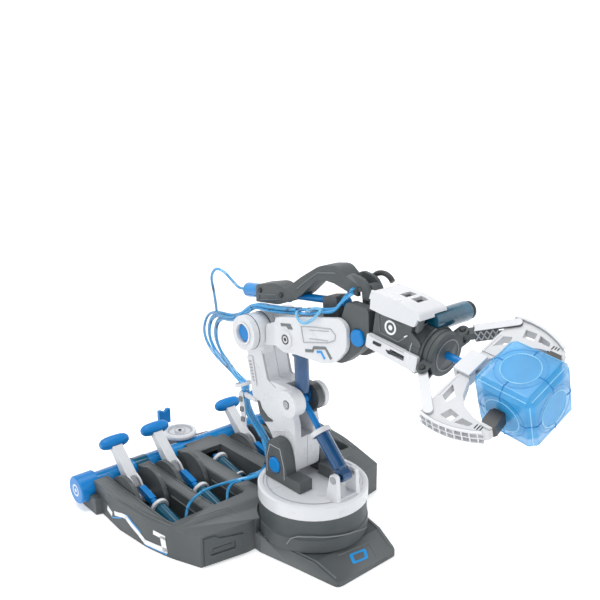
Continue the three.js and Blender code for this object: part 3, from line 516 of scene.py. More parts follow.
def level_plate(name, outline, z0, z1, look, body, at=ROW, bevel=0.25):
    """A level plate, from a list of (x, forward)."""
    bm = prism(outline, lambda x, f, d: (x, -f, z0 + d), z1 - z0)
    return make_piece(name, bm, look, body, at, bevel)


def rectangle(a0, a1, b0, b1):
    return [(a0, b0), (a1, b0), (a1, b1), (a0, b1)]


def box(name, x, f, z, look, body, bevel=0.25):
    return side_plate(name, rectangle(*f, *z), x[0], x[1], look, body, bevel=bevel)


def hoop(inner, outer, thick):
    """The section of a plain ring, or of a disc where inner is 0."""
    return [(inner, 0), (outer, 0), (outer, thick), (inner, thick)]


def skin(bm, rows):
    """Joins rows of points into a closed tube with flat ends."""
    for one, two in zip(rows, rows[1:]):
        for k in range(len(one)):
            n = (k + 1) % len(one)
            bm.faces.new((one[k], one[n], two[n], two[k]))
    bm.faces.new(rows[0])
    bm.faces.new(rows[-1])


def joined(parts):
    """Several meshes as one."""
    whole = bmesh.new()
    for one in parts:
        mesh = bpy.data.meshes.new("one")
        one.to_mesh(mesh)
        one.free()
        whole.from_mesh(mesh)
        bpy.data.meshes.remove(mesh)
    return whole


def turned(name, profile, centre, along, look, body, at=ROW, sides=40, bevel=0.2):
    """A turned piece: a closed list of (radius, distance along the axis) from a centre in x, forward, up."""
    bm = bmesh.new()
    axis = Vector((along[0], -along[1], along[2])).normalized()
    turn = Vector((0, 0, 1)).rotation_difference(axis).to_matrix()
    middle = Vector((centre[0], -centre[1], centre[2]))
    rings = []
    for i in range(sides):
        a = 2 * math.pi * i / sides
        ring = [turn @ Vector((r * math.cos(a), r * math.sin(a), t)) + middle for r, t in profile]
        rings.append([bm.verts.new(point) for point in ring])
    for one, two in zip(rings, rings[1:] + rings[:1]):
        for j in range(len(profile)):
            k = (j + 1) % len(profile)
            bm.faces.new((one[j], two[j], two[k], one[k]))
    bmesh.ops.remove_doubles(bm, verts=bm.verts, dist=0.0005)
    loose = [face for face in bm.faces if face.calc_area() < 1e-9]
    bmesh.ops.delete(bm, geom=loose, context="FACES")
    return make_piece(name, bm, look, body, at, bevel)


def ring(name, centre, along, inner, outer, thick, look, body, at=ROW, bevel=0.1):
    return turned(name, hoop(inner, outer, thick), centre, along, look, body, at, bevel=bevel)


def smooth_route(points, steps):
    """A Catmull-Rom line through [x, forward, up] points."""
    spots = [Vector(p) for p in points]
    spots = [2 * spots[0] - spots[1], *spots, 2 * spots[-1] - spots[-2]]
    line = []
    for a, b, c, d in zip(spots, spots[1:], spots[2:], spots[3:]):
        for i in range(steps):
            t = i / steps
            line.append(0.5 * (2 * b + (c - a) * t + (2 * a - 5 * b + 4 * c - d) * t * t
                               + (3 * b - a - 3 * c + d) * t ** 3))
    line.append(spots[-2])
    return line


def tube_mesh(line, radius, sides):
    """A closed round tube along a line of [x, forward, up] points."""
    bm = bmesh.new()
    spots = [Vector((p[0], -p[1], p[2])) for p in line]
    across = None
    rings = []
    for i, spot in enumerate(spots):
        ahead = (spots[min(i + 1, len(spots) - 1)] - spots[max(i - 1, 0)]).normalized()
        across = ahead.orthogonal() if across is None else across - ahead * across.dot(ahead)
        across = across.normalized()
        other = ahead.cross(across)
        turns = [2 * math.pi * k / sides for k in range(sides)]
        around = [across * math.cos(a) + other * math.sin(a) for a in turns]
        rings.append([bm.verts.new(spot + radius * out) for out in around])
    skin(bm, rings)
    return bm


def tube(name, points, radius, look, body):
    return make_piece(name, tube_mesh(smooth_route(points, 6), radius, 10), look, body, bevel=0)


def emblem(name, centre, side, size, look, body):
    """A plain printed ring with a dot, on a face across X."""
    along = (side, 0, 0)
    ring(name, centre, along, size * 0.72, size, 0.25, look, body, bevel=0)
    turned(name + "_dot", hoop(0, size * 0.36, 0.25), centre, along, look, body)


# ---------------------------------------------------------------- hoses (the routes of part.mjs)

DECK_HOSE = [
    [-94, -68.2, 8.2], [-94, -68, 14], [-92, -69, 27], [-84, -74, 35], [-66, -80, 37], [-46, -80, 37],
    [-27, -74, 38], [-14, -63, 43], [-9, -55, 53], [-8, -52, 64],
]
RISER_HOSE = [[-8, -52, 65.5], [-8, -55, 75], [-9, -63, 86], [-11, -73, 97], [-13, -79, 110],
    [-13, -80, 122.4]]
LOOP_HOSE = [
    [-13, -80, 124.8], [-13, -81.6, 130], [-13, -96, 135], [-13, -114, 141], [-13, -135, 151],
    [-13, -145, 166],
    [-13, -139, 183], [-13, -124, 191], [-13, -99, 194], [-13, -83, 200], [-13, -64, 211], [-13, -44, 214],
    [-13, -24, 216.6], [-13, -4, 220.4],
]
TILT_HOSE = [
    [-13, -123, 191.4], [-13, -124.4, 200], [-12, -128, 210], [-10, -134, 223], [-7, -131, 231],
    [-4, -122, 229.5],
    [-1.4, -112, 222], [-0.2, -104.5, 217.4], [0, -97.4, 217.4],
]
FOREARM_HOSE = [
    [-13, -2.5, 221], [-13, 10, 224.5], [-13.4, 26, 228], [-14, 42, 233], [-13.4, 50, 243], [-11.5, 58, 252],
]
STRAND = 1.4  # radius of one hose


def strand(name, points, body, replaced=(), radius=STRAND, across=None, look="hose", steps=8):
    """One hose along [x, forward, up] points; across, as (body, body, start, end), stands for a hose between
    two bodies: such a hose is left on no body, and the bodies and points in across are not used.
    """
    line = smooth_route(points, steps)
    piece = make_piece(name, tube_mesh(line, radius, 10), look, None, bevel=0)
    if across:
        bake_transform(piece)
    else:
        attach(piece, body)
    if replaced:
        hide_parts(*replaced)
    return piece


RISER_OFFSETS = [(0, 0), (2.7, 0.6), (-2.6, 0.9), (1.2, -2.6), (-1.7, -2.4)]
LOOP_ACROSS = (0, 1.7, -1.7, 1.4, -1.4)
LOOP_SPREAD = [  # from one strand to the next, in (forward, up), at each point of the loop
    (0, 0), (0, 0), (0.6, 0.5), (2.2, 1.0), (4.6, 0.8), (5.6, 0), (4.6, -0.9),
    (3, -1.0), (0.5, -1.0), (0, -0.6), (0, 0), (0, 0), (0, 0), (0, 0),
]
LOOP_BUNDLED = (1, 1, 0.6, 0.2, 0, 0, 0, 0, 0.2, 0.5, 0.8, 1, 1, 1)


def loop_route(strand_at):
    """One strand of the loop: bundled at both ends, and spread inwards one behind the other between them."""
    across, ahead = RISER_OFFSETS[strand_at]
    out = []
    for i, (x, f, z) in enumerate(LOOP_HOSE):
        tight = LOOP_BUNDLED[i]
        sideways = across * tight + LOOP_ACROSS[strand_at] * (1 - tight)
        spread_f, spread_z = LOOP_SPREAD[i]
        bundle_f, bundle_z = (ahead, 0) if i < len(LOOP_HOSE) / 2 else (0, ahead)
        out.append([x + sideways, f + spread_f * strand_at + bundle_f * tight,
            z + spread_z * strand_at + bundle_z * tight])
    return out


def add_hoses():
    add_deck_hoses()
    add_riser_hoses()
    add_loop_hoses()
    add_forearm_hoses()


def add_deck_hoses():
    left = ("base", "yaw_table", (-27, -74, 38), (-8, -52, 64))
    right = ("base", "yaw_table", (20, -74, 38), (4, -52, 64))
    near = ("base", "yaw_table", (-14, -70, 38), (-8, -52, 64))
    strand("deck_hose_1", DECK_HOSE, None, ["deck_hose"], across=left)
    second = [
        [-47, -68.2, 8.2], [-47, -68, 14], [-46, -69, 24], [-42, -73, 32], [-34, -76, 35.5],
        [-26, -72, 37.5], [-13, -61, 43], [-7, -54.5, 53], [-6, -51.6, 64],
    ]
    strand("deck_hose_2", second, None, across=left)
    fourth = [
        [94, -68.2, 8.2], [94, -68, 14], [92, -69, 27], [84, -74, 35], [66, -80, 36], [46, -80, 36],
        [27, -76, 37], [11, -65, 42], [1, -56, 53], [-1.6, -51.4, 64],
    ]
    strand("deck_hose_4", fourth, None, across=right)
    third = [
        [47, -68.2, 8.2], [47, -68, 14], [46, -69, 24], [42, -72, 31], [34, -74, 34],
        [23, -70, 36], [9, -61, 42], [-1, -54.5, 53], [-3.6, -51.2, 64],
    ]
    strand("deck_hose_3", third, None, across=right)
    middle = [
        [0, -104, 14], [-1, -99, 18], [-5, -90, 26], [-9, -80, 34], [-11, -70, 40], [-10, -58.5, 50],
        [-9.6, -53.6, 64],
    ]
    strand("deck_hose_5", middle, None, across=near)


def add_riser_hoses():
    across = ("yaw_table", "column", (-8, -58, 80), (-12, -78, 105))
    for i, (x, f) in enumerate(RISER_OFFSETS):
        moved = [[px + x, pf + f, pu] for px, pf, pu in RISER_HOSE]
        moved[0][2] -= 1.4
        moved[-1][2] += 1.6
        strand(f"riser_hose_{i + 1}", moved, None, ["riser_hose"] if not i else (), across=across)


def add_loop_hoses():
    across = ("column", "forearm", (-13, -128, 148), (-13, -128, 188))
    for i in range(len(RISER_OFFSETS)):
        strand(f"loop_hose_{i + 1}", loop_route(i), None, ["loop_hose"] if not i else (), across=across)
    slide = ("forearm", "tilt_slider", (-10, -134, 218), (-1.4, -112, 222))
    strand("tilt_hose_1", TILT_HOSE, None, ["tilt_hose"], radius=1.3, across=slide, steps=6)


def add_forearm_hoses():
    across = ("forearm", "wrist", (-13, 40, 228), (-13, 57, 246))
    strand("wrist_hose_1", FOREARM_HOSE, None, ["forearm_hose"], across=across)
    second = [[-16.2, -2.5, 219], [-16.2, 10, 221], [-16.4, 26, 226], [-16.6, 41, 231], [-16.4, 51, 241],
        [-14.6, 60, 249]]
    strand("wrist_hose_2", second, None, across=across)
    hanging = [
        [-17.6, 0, 221.4], [-21, 2.5, 222.2], [-24.4, 5.5, 220.6], [-25, 11, 216.4], [-25, 18, 217],
        [-24.8, 26, 222.4],
        [-23.4, 31, 228], [-20, 30, 230.4], [-18.4, 19, 228], [-17, 9, 222.9],
    ]
    strand("hanging_hose", hanging, "forearm", radius=1.3, look="pale_hose")


# ---------------------------------------------------------------- base


def wall_frame(start, end):
    """A frame on a near-side wall between two (x, forward) points: u along it, v up, w outwards."""
    a = Vector((start[0], -start[1], 0))
    along = (Vector((end[0], -end[1], 0)) - a).normalized()
    out = along.cross(Vector((0, 0, 1)))
    if out.x > 0:
        out = -out
    turn = Matrix((along, Vector((0, 0, 1)), out)).transposed().to_4x4()
    return Matrix.Translation(a) @ turn


def wall_plate(name, outline_uv, wall, depth, look, bevel=0.2, holes=()):
    bm = prism(outline_uv, lambda u, v, d: (u, v, GAP + d), depth, holes)
    return make_piece(name, bm, look, "base", wall_frame(*wall), bevel)


def ribbon(points, width):
    """The outline of a band of an even width along a line of points."""
    left, right = [], []
    for i, (a, b) in enumerate(points):
        before, after = points[max(i - 1, 0)], points[min(i + 1, len(points) - 1)]
        d = Vector((after[0] - before[0], after[1] - before[1])).normalized()
        left.append((a - d.y * width / 2, b + d.x * width / 2))
        right.append((a + d.y * width / 2, b - d.x * width / 2))
    return left + right[::-1]


def rounded(points, size, steps=3):
    """A closed outline with each corner taken off by size."""
    out = []
    for i, p in enumerate(points):
        here, before, after = Vector(p), Vector(points[i - 1]), Vector(points[(i + 1) % len(points)])
        cut = min(size, 0.45 * (here - before).length, 0.45 * (here - after).length)
        a, b = here + (before - here).normalized() * cut, here + (after - here).normalized() * cut
        for k in range(steps + 1):
            t = k / steps
            out.append(tuple((1 - t) ** 2 * a + 2 * t * (1 - t) * here + t * t * b))
    return out


def add_master_details():
    direction = (0, -math.cos(MASTER_SLOPE), math.sin(MASTER_SLOPE))
    starts = [(x, *MASTER_FRONT) for x in LEVER_X]
    starts.append((0, MASTER_FRONT[0] + CHANNEL_SHIFT[0], MASTER_FRONT[1] + CHANNEL_SHIFT[1]))
    for i, (x, f, z) in enumerate(starts):
        near_end, far_end = ((x, f + direction[1] * t, z + direction[2] * t) for t in (2, 35))
        collar = [(6.6, 0), (9.0, 0), (9.4, 0.5), (9.4, 3.2), (9.0, 3.7), (6.6, 3.7)]
        turned(f"barrel_collar_{i + 1}", collar, far_end, direction, "white", "base")
        turned(f"barrel_seal_{i + 1}", hoop(6.6, 7.8, 2.2), near_end, direction, "white", "base")
        if i == len(LEVER_X):  # the channel's barrel has no tray
            continue
        tray = rounded([(-122, 3.4), (-82, 3.4), (-82, 12), (-112, 18), (-122, 20)], 2)
        side_plate(f"barrel_tray_{i + 1}", tray, x - 11.4, x - 10.2, "white", "base")


BADGE = [(-7, 54), (11.7, 56.2), (6.6, 64.6), (-10.7, 62.8)]
PROW_SLOPE = 0.4
PROW_TOP = (46, 14)
DECK_SLOPE = 0.0431
DECK_LIMIT = 16.5


def prow_height(forward):
    return PROW_TOP[1] - PROW_SLOPE * (forward - PROW_TOP[0])


def prow_plate(name, points, look, holes=(), thick=0.3):
    """A plate that lies on the sloping prow, from (x, forward) points."""
    bm = prism(points, lambda x, f, d: (x, -f, prow_height(f) + GAP + d), thick, holes)
    return make_piece(name, bm, look, "base", bevel=0.08)


def add_prow_details():
    middle = Vector((sum(p[0] for p in BADGE), sum(p[1] for p in BADGE))) / 4
    inner = [tuple(middle + (Vector(p) - middle) * 0.62) for p in BADGE]
    prow_plate("prow_badge", rounded(BADGE, 2), "decal_blue", [rounded(inner, 1.4)])
    frame_line = [(-16, 50.5), (19, 53.4), (15, 66.5)]
    for i, ends in enumerate(zip(frame_line, frame_line[1:])):
        prow_plate(f"prow_line_{i + 1}", ribbon(ends, 0.7), "pale_grey")
    for side, tail in SIDES:
        rim = [(side * x, f) for x, f in ((34, 66), (43, 22), (49.5, -10))]
        draped(f"prow_rim_{tail}", rim, 1.6, rim_height, 0.7, "pale_grey", "base")


def rim_height(forward):
    """The height of the base's front deck: a sloping prow, then a nearly level floor."""
    if forward > PROW_TOP[0]:
        return prow_height(forward)
    return min(DECK_LIMIT, PROW_TOP[1] + DECK_SLOPE * (PROW_TOP[0] - forward))


def draped(name, points, width, height, thick, look, body):
    """A raised line that follows a surface; points are (x, forward) and height gives the surface's z."""
    bm = bmesh.new()
    dense = []
    for a, b in zip(points, points[1:]):
        steps = max(1, int(math.dist(a, b) // 4))
        dense += [tuple(Vector(a).lerp(Vector(b), k / steps)) for k in range(steps)]
    outline = ribbon([*dense, points[-1]], width)
    half = len(outline) // 2
    rows = []
    for one, two in zip(outline[:half], reversed(outline[half:])):
        corners = ((one, GAP), (two, GAP), (two, thick), (one, thick))
        rows.append([bm.verts.new((x, -f, height(f) + lift)) for (x, f), lift in corners])
    skin(bm, rows)
    make_piece(name, bm, look, body, bevel=0.2)


def add_wall_details():
    front = ((-61, -20), (-105, -28))
    panel = rounded([(3, 1.5), (42, 1.5), (42, 27.5), (31, 27.5), (27, 24), (3, 21)], 1)
    recess = rounded(rectangle(12, 36, 9.5, 17.5), 1)
    wall_plate("front_panel", panel, front, 1.3, "grey", holes=[recess], bevel=0.35)
    wall_plate("front_recess", rounded(rectangle(14.5, 33.5, 12, 15.2), 0.6), front, 0.5, "grey", bevel=0.2)
    lengths = [0]
    for a, b in zip(NEAR_WALLS, NEAR_WALLS[1:]):
        lengths.append(lengths[-1] + math.dist(a, b))
    for name, points, width, look in WALL_PRINTS:
        print_line(name, points, width, look, lengths)


WALL_PRINTS = (
    ("wall_print_end", [(127, 12.5), (117.5, 9.5)], 5.2, "decal_white"),
    ("wall_print_ridge", [(112, 13.5), (98, 17.8), (90.5, 18.6)], 4.2, "decal_white"),
    ("wall_print_slant", [(92, 18.8), (84, 14.2), (74, 10.2), (64, 5.2)], 4.6, "decal_white"),
    ("wall_print_foot", [(65, 5.0), (50, 5.0), (36, 5.8)], 5.0, "decal_white"),
    ("wall_print_hook", [(38.5, 4), (40, 12.5), (41, 19)], 6.0, "decal_white"),
    ("wall_print_top", [(37.6, 18.2), (52, 19.2)], 4.2, "decal_white"),
    ("wall_print_blue", [(90, 21.2), (80, 16.4), (69.5, 12.0)], 1.3, "decal_blue"),
    ("wall_print_blue_low", [(64, 2.2), (36, 2.2)], 1.1, "decal_blue"),
    ("wall_print_blue_end", [(118, 6.2), (110, 9.8), (99, 14.6)], 1.1, "decal_blue"),
)


def print_line(name, points, width, look, lengths):
    """A printed band that runs along the near side's walls; points are (distance along, up)."""
    dense = []
    for a, b in zip(points, points[1:]):
        steps = max(1, int(abs(b[0] - a[0]) // 4))
        cuts = sorted({0.0, *[k / steps for k in range(steps)], *[
            (s - a[0]) / (b[0] - a[0]) for s in lengths if min(a[0], b[0]) < s < max(a[0], b[0])]})
        dense += [(a[0] + (b[0] - a[0]) * t, a[1] + (b[1] - a[1]) * t) for t in cuts]
    dense.append(points[-1])
    bm = bmesh.new()
    rows = []
    for i, (s, v) in enumerate(dense):
        before, after = dense[max(i - 1, 0)], dense[min(i + 1, len(dense) - 1)]
        d = Vector((after[0] - before[0], after[1] - before[1])).normalized() * (width / 2)
        row = []
        for side, depth in ((1, 0.05), (-1, 0.05), (-1, 0.35), (1, 0.35)):
            row.append(bm.verts.new(on_wall(s - d.y * side, v + d.x * side, depth, lengths)))
        rows.append(row)
    skin(bm, rows)
    make_piece(name, bm, look, "base", bevel=0)


def on_wall(s, up, depth, lengths):
    """The point at a distance s along the near side's walls."""
    k = max(i for i, start in enumerate(lengths[:-1]) if i == 0 or start <= s)
    a, b = Vector(NEAR_WALLS[k]), Vector(NEAR_WALLS[k + 1])
    along = (b - a).normalized()
    spot = a + along * (s - lengths[k])
    out = Vector((-along.y, along.x))
    if out.x > 0:
        out = -out
    spot += out * depth
    return (spot.x, -spot.y, up)


DRUM_RADIUS = 50.5
DRUM_LINE = [
    (-69, 21.3), (-64.4, 27.9), (-57, 31.3), (-43, 32.1), (-21.7, 30.6), (4.6, 27.6), (30.9, 19.5),
]


def drum_band(name, points, width, look):
    """A raised line on the turntable's drum; points are (degrees from the front towards +X, up)."""
    bm = bmesh.new()
    rows = []
    radius = DRUM_RADIUS
    dense = []
    for a, b in zip(points, points[1:]):
        steps = max(1, int(abs(b[0] - a[0]) // 4))
        dense += [(a[0] + (b[0] - a[0]) * k / steps, a[1] + (b[1] - a[1]) * k / steps) for k in range(steps)]
    dense.append(points[-1])
    for i, (turn, up) in enumerate(dense):
        before, after = dense[max(i - 1, 0)], dense[min(i + 1, len(dense) - 1)]
        d = Vector((math.radians(after[0] - before[0]) * radius,
            after[1] - before[1])).normalized() * width / 2
        row = []
        for side, depth in ((1, 0), (-1, 0), (-1, 0.35), (1, 0.35)):
            a = math.radians(turn) - d.y * side / radius
            r = radius + depth
            row.append(bm.verts.new((r * math.sin(a), -r * math.cos(a), up + d.x * side)))
        rows.append(row)
    skin(bm, rows)
    make_piece(name, bm, look, "base", bevel=0)


def add_tank_details():
    turned("tank_band", hoop(11.62, 11.9, 15), (-76, *TANK_AXIS), (1, 0, 0), "clear_teal", "base")
    lip = [(11.4, 0), (12.6, 0), (12.9, 0.4), (12.9, 2.2), (11.4, 2.2)]
    for side, tail in SIDES:
        turned(f"tank_lip_{tail}", lip, (side * 128, *TANK_AXIS), (side, 0, 0), "grey", "base")


RAIL_TOP = 30
BAY_HALF = 17


def add_deck_details():
    """Ledges along the rails between the bays, and the panel lines of the deck in front of them."""
    deck = RAIL_TOP
    for i, x in enumerate(LEVER_X):
        for side, tail in SIDES:
            edge = x + side * BAY_HALF
            low, high = sorted((edge + side * 0.8, edge + side * 2.2))
            top = (deck - 0.2, deck + 0.7)
            box(f"bay_ledge_{i + 1}_{tail}", (low, high), (-176, -66), top, "grey", "base", bevel=0.3)
            inner = tuple(sorted((edge - side * 0.02, edge - side * 1.5)))
            box(f"bay_step_{i + 1}_{tail}", inner, (-116, -68), (20.5, 22), "grey", "base", bevel=0.3)
    lines = (
        [(-110, -60), (-58, -52), (-55, -30)], [(-98, -50), (-66, -45), (-64, -34)],
        [(110, -60), (58, -52), (55, -30)], [(98, -50), (66, -45), (64, -34)],
    )
    for i, line in enumerate(lines):
        level_plate(f"deck_line_{i + 1}", ribbon(line, 0.6), deck + GAP, deck + 0.3, "pale_grey", "base",
            bevel=0.08)
    # raised pale lines on each wing's top, painted lighter as highlights along its top edge and along the
    # ridge inside it
    wing = [(114, -60), (120.5, -88), (124.5, -128), (122.5, -160)]
    for side, tail in SIDES:
        for inset, kind in ((0, "outer"), (4.5, "inner")):
            line = [(side * (x - inset), f) for x, f in wing]
            plate = ribbon(line, 0.7)
            level_plate(f"wing_edge_highlight_{kind}_{tail}", plate, deck + GAP, deck + 0.35, "pale_grey", "base",
                bevel=0.1)


def add_base_details():
    add_master_details()
    add_deck_details()
    add_prow_details()
    add_wall_details()
    drum_band("drum_line", DRUM_LINE, 1.0, "pale_grey")
    add_tank_details()


def add_lever_details():
    """The grey block on the front of each lever, and the ridges across its grip."""
    lean = Vector((-math.sin(LEVER_LEAN), math.cos(LEVER_LEAN)))
    ahead = Vector((lean.y, -lean.x))
    for i, x in enumerate(LEVER_X):
        body = f"lever_{i + 1}"
        pivot = Vector(LEVER_PIVOT)
        corner = lambda t, w: tuple(pivot + lean * t + ahead * w)
        block = [corner(9, 4.7), corner(24, 4.7), corner(22, 6.4), corner(11, 6.4)]
        side_plate(f"lever_block_{i + 1}", block, x - 2.6, x + 2.6, "metal", body, bevel=0.4)
        for k in range(4):
            t = 30 + 6 * k
            rib = [corner(t, 3.4), corner(t + 0.8, 3.4), corner(t + 0.8, 5.1 - 0.03 * t),
                corner(t, 5.1 - 0.03 * t)]
            side_plate(f"lever_rib_{i + 1}_{k + 1}", rib, x - 3.6, x + 3.6, "white", body, bevel=0.15)


def add_wheel_details():
    """Painted shade rings for the steps of the hand wheel's top, and a painted shadow dot on its axle's head.
    """
    x, forward = WHEEL
    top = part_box("hand_wheel")[1][2] / MM
    # each ring is a painted shade, not a real step
    steps = (("rim", 12.4, 13.2, "soft_line"), ("well", 5.2, 6.2, "soft_line"), ("axle", 0, 1.9, "groove"))
    for name, inner, outer, look in steps:
        turned(f"wheel_{name}", hoop(inner, outer, 0.3), (x, forward, top), (0, 0, 1), look, "wheel", bevel=0)


TURNTABLE_TOP = 58.3


def add_turntable_details():
    top = (0, 0, TURNTABLE_TOP)
    turned("turntable_ring", hoop(41.4, 42.4, 0.4), top, (0, 0, 1), "soft_line", "yaw_table", sides=96,
        bevel=0)
    f, z = CLEVIS
    head = [(0, 0), (3.4, 0), (3.4, 0.8), (2.6, 1.4), (0, 1.4)]
    rim = ribbon([(-32.5, 64), (-32.5, 79), (-28.5, 92), (-14.5, 92), (-9, 75), (-8.5, 64)], 0.8)
    for side, tail in SIDES:
        turned(f"shoulder_mark_{tail}", head, (side * 13.5, f, z), (side, 0, 0), "metal", "yaw_table")
        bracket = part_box(f"shoulder_bracket_{tail}")
        face = max(abs(corner[0]) for corner in bracket) / MM
        low, high = sorted((side * (face + GAP), side * (face + 0.4)))
        side_plate(f"shoulder_rim_{tail}", rim, low, high, "soft_line", "yaw_table", bevel=0.1)


# ---------------------------------------------------------------- column and shoulder


def both_sides(name, outline, face, depth, look, body, bevel=0.2, holes=()):
    """The same mark on the near and the far face, standing depth proud of |x| = face."""
    side_plate(name + "_near", outline, -face - depth, -face - GAP, look, body, bevel=bevel, holes=holes)
    side_plate(name + "_far", outline, face + GAP, face + depth, look, body, bevel=bevel, holes=holes)


VENT_STRIP = [(-74.3, 160.6), (-66.3, 162.8), (-60.1, 135), (-66, 135.2)]
COLUMN_STRIPE = [
    (-60.5, 121), (-57, 109), (-50, 102.8), (-38, 106.8), (-38.6, 108.6), (-45, 109.4), (-53.4, 114.6),
    (-57, 121),
]
CLIP_STRIP = [(-85.6, 121.7), (-79.3, 123.7), (-74.2, 90.5), (-80.5, 88.3)]
COLUMN_FACE = 14.5
SHOULDER_UP = (0, -0.704, 0.710)
SHOULDER_COLLAR = 40.4  # how far up its cylinder the collar starts


def slot_row(corners, count, width=0.22, margin=0.12):
    """Short slots across a four-cornered strip, from its first edge to its last."""
    a, b, c, d = (Vector(p) for p in corners)
    rows = []
    for i in range(count):
        t = margin + (1 - 2 * margin) * (i + 0.5) / count
        left, right = a.lerp(d, t), b.lerp(c, t)
        half = (d - a).normalized() * width * (d - a).length / count
        rows.append([tuple(p) for p in (
            left.lerp(right, 0.22) - half, left.lerp(right, 0.78) - half,
            left.lerp(right, 0.78) + half, left.lerp(right, 0.22) + half)])
    return rows


def add_column_details():
    face = COLUMN_FACE
    both_sides("column_strip", rounded(VENT_STRIP, 1), face, 1.0, "white", "column",
        holes=slot_row(VENT_STRIP, 7))
    # a grey plate under the vent strip: painted shade showing through its slots
    both_sides("column_strip_slot_shade", rounded(VENT_STRIP, 1), face, 0.3, "soft_line", "column", bevel=0)
    both_sides("column_stripe", COLUMN_STRIPE, face, 0.5, "grey", "column")
    ledge = ribbon([(-40, 96.5), (-30, 101), (-19, 104.5), (-13, 103.5), (-12.6, 100)], 1.2)
    both_sides("column_ledge", ledge, face, 0.7, "white", "column")
    front_seam = [(-34, 141.5), (-45.5, 146), (-53, 171)]
    both_sides("column_edge", ribbon(front_seam, 0.8), face - 1.5, 1.9, "soft_line", "column")
    rim = [(8.7, 0), (10.2, 0), (10.8, 0.7), (10.2, 1.1), (8.7, 1.1)]
    turned("hub_rim", rim, (-30, *ELBOW), (-1, 0, 0), "white", "column")
    turned("hub_seam", hoop(15.98, 16.25, 0.8), (-10, *ELBOW), (1, 0, 0), "groove", "column", bevel=0)
    turned("hub_groove", hoop(15.98, 16.2, 0.6), (-24, *ELBOW), (1, 0, 0), "groove", "column", bevel=0)
    # a grey disc: painted shade in the knuckle's hole
    turned("knuckle_hole_shade", hoop(0, 3.2, 0.5), (-20, *KNUCKLE), (-1, 0, 0), "soft_line", "column")
    collar = (0, *(foot + step * SHOULDER_COLLAR for foot, step in zip(CLEVIS, SHOULDER_UP[1:])))
    ring("shoulder_collar", collar, SHOULDER_UP, 8.3, 9.6, 4.5, "white", "shoulder_cylinder")
    add_hose_clips()


def add_hose_clips():
    """The clips that hold the hoses along the column's back."""
    side_plate("clip_strip", rounded(CLIP_STRIP, 1.5), -17.5, -16.3, "white", "column", bevel=0.3)
    a, d = Vector(CLIP_STRIP[0]), Vector(CLIP_STRIP[3])
    for i in range(3):
        spot = a.lerp(d, (i + 0.6) / 3.4) + Vector((3.2, 0.6))
        block = [(spot.x + f, spot.y + z) for f, z in ((-2.6, -3), (2.4, -2.4), (2.4, 2.4), (-2.6, 1.8))]
        side_plate(f"clip_block_{i + 1}", block, -18.9, -17.3, "pale_grey", "column", bevel=0.3)
    arm = [(-62, 121.6), (-80, 123.5), (-85.5, 122.6), (-85.5, 119.5), (-79, 118.9), (-62, 118.6)]
    side_plate("clip_arm", arm, -16.3, -13.6, "white", "column", bevel=0.3)
    turned("loop_clip_low", hoop(7.2, 8.2, 3), (-13, -83.5, 128), (0, -0.35, 1), "white", "column")


# ---------------------------------------------------------------- forearm and tilt syringe

PANEL_FACE = 22
PANEL_EMBLEM = (-10, 195.2, 23.65)  # its centre in (forward, up), and the face it is printed on
PANEL_FRAME = [
    (8.7, 211.1), (11.9, 198.1), (20, 200), (40.9, 205.2), (48.8, 209.4), (49.5, 213.8), (44, 217.5),
]


def add_forearm_details():
    frame_line = [*PANEL_FRAME[:3], (30, 202.6), *PANEL_FRAME[3:], (24, 214.3), PANEL_FRAME[0]]
    top = [(-17.7, 207.7), (-5, 210), (-1.7, 205.8), (-7.5, 204.6), (-9.9, 206.6), (-16.6, 205.1)]
    low = ribbon([(14, 191.4), (23, 193.5), (24.5, 196.8), (38, 200), (45, 192.5)], 2.6)
    marks = (
        ("panel_frame", ribbon(frame_line, 0.9), 0.5, "soft_line"),
        ("panel_line_top", ribbon([(18.9, 210.4), (41.5, 215)], 0.7), 0.4, "soft_line"),
        ("panel_line_low", ribbon([(18.9, 203.2), (40.8, 206.8)], 0.7), 0.4, "soft_line"),
        ("panel_stripe_top", top, 0.45, "pale_grey"),
        ("panel_stripe_low", low, 0.45, "pale_grey"),
        ("panel_stripe_blue", ribbon([(28, 194), (33, 195.5), (37.5, 190.5)], 2.2), 0.5, "decal_blue"),
    )
    for name, outline, depth, look in marks:
        both_sides(name, outline, PANEL_FACE, depth, look, "forearm", bevel=0.1)
    for side, tail in SIDES:
        emblem(f"panel_emblem_{tail}", (side * PANEL_EMBLEM[2], *PANEL_EMBLEM[:2]), side, 4.4, "dark",
            "forearm")
    pin = [(0, -8.4), (2.6, -8.4), (2.6, 8.4), (0, 8.4)]
    turned("elbow_link_pin", pin, (0, *ELBOW_LINK), (1, 0, 0), "metal", "forearm")


TILT_FACE = 8.2


def tilt_axis(distance):
    """The point (forward, up) at a distance down the tilt syringe's axis."""
    return (TILT_FOOT[0] - distance * math.cos(TILT_SLOPE), TILT_FOOT[1] - distance * math.sin(TILT_SLOPE))


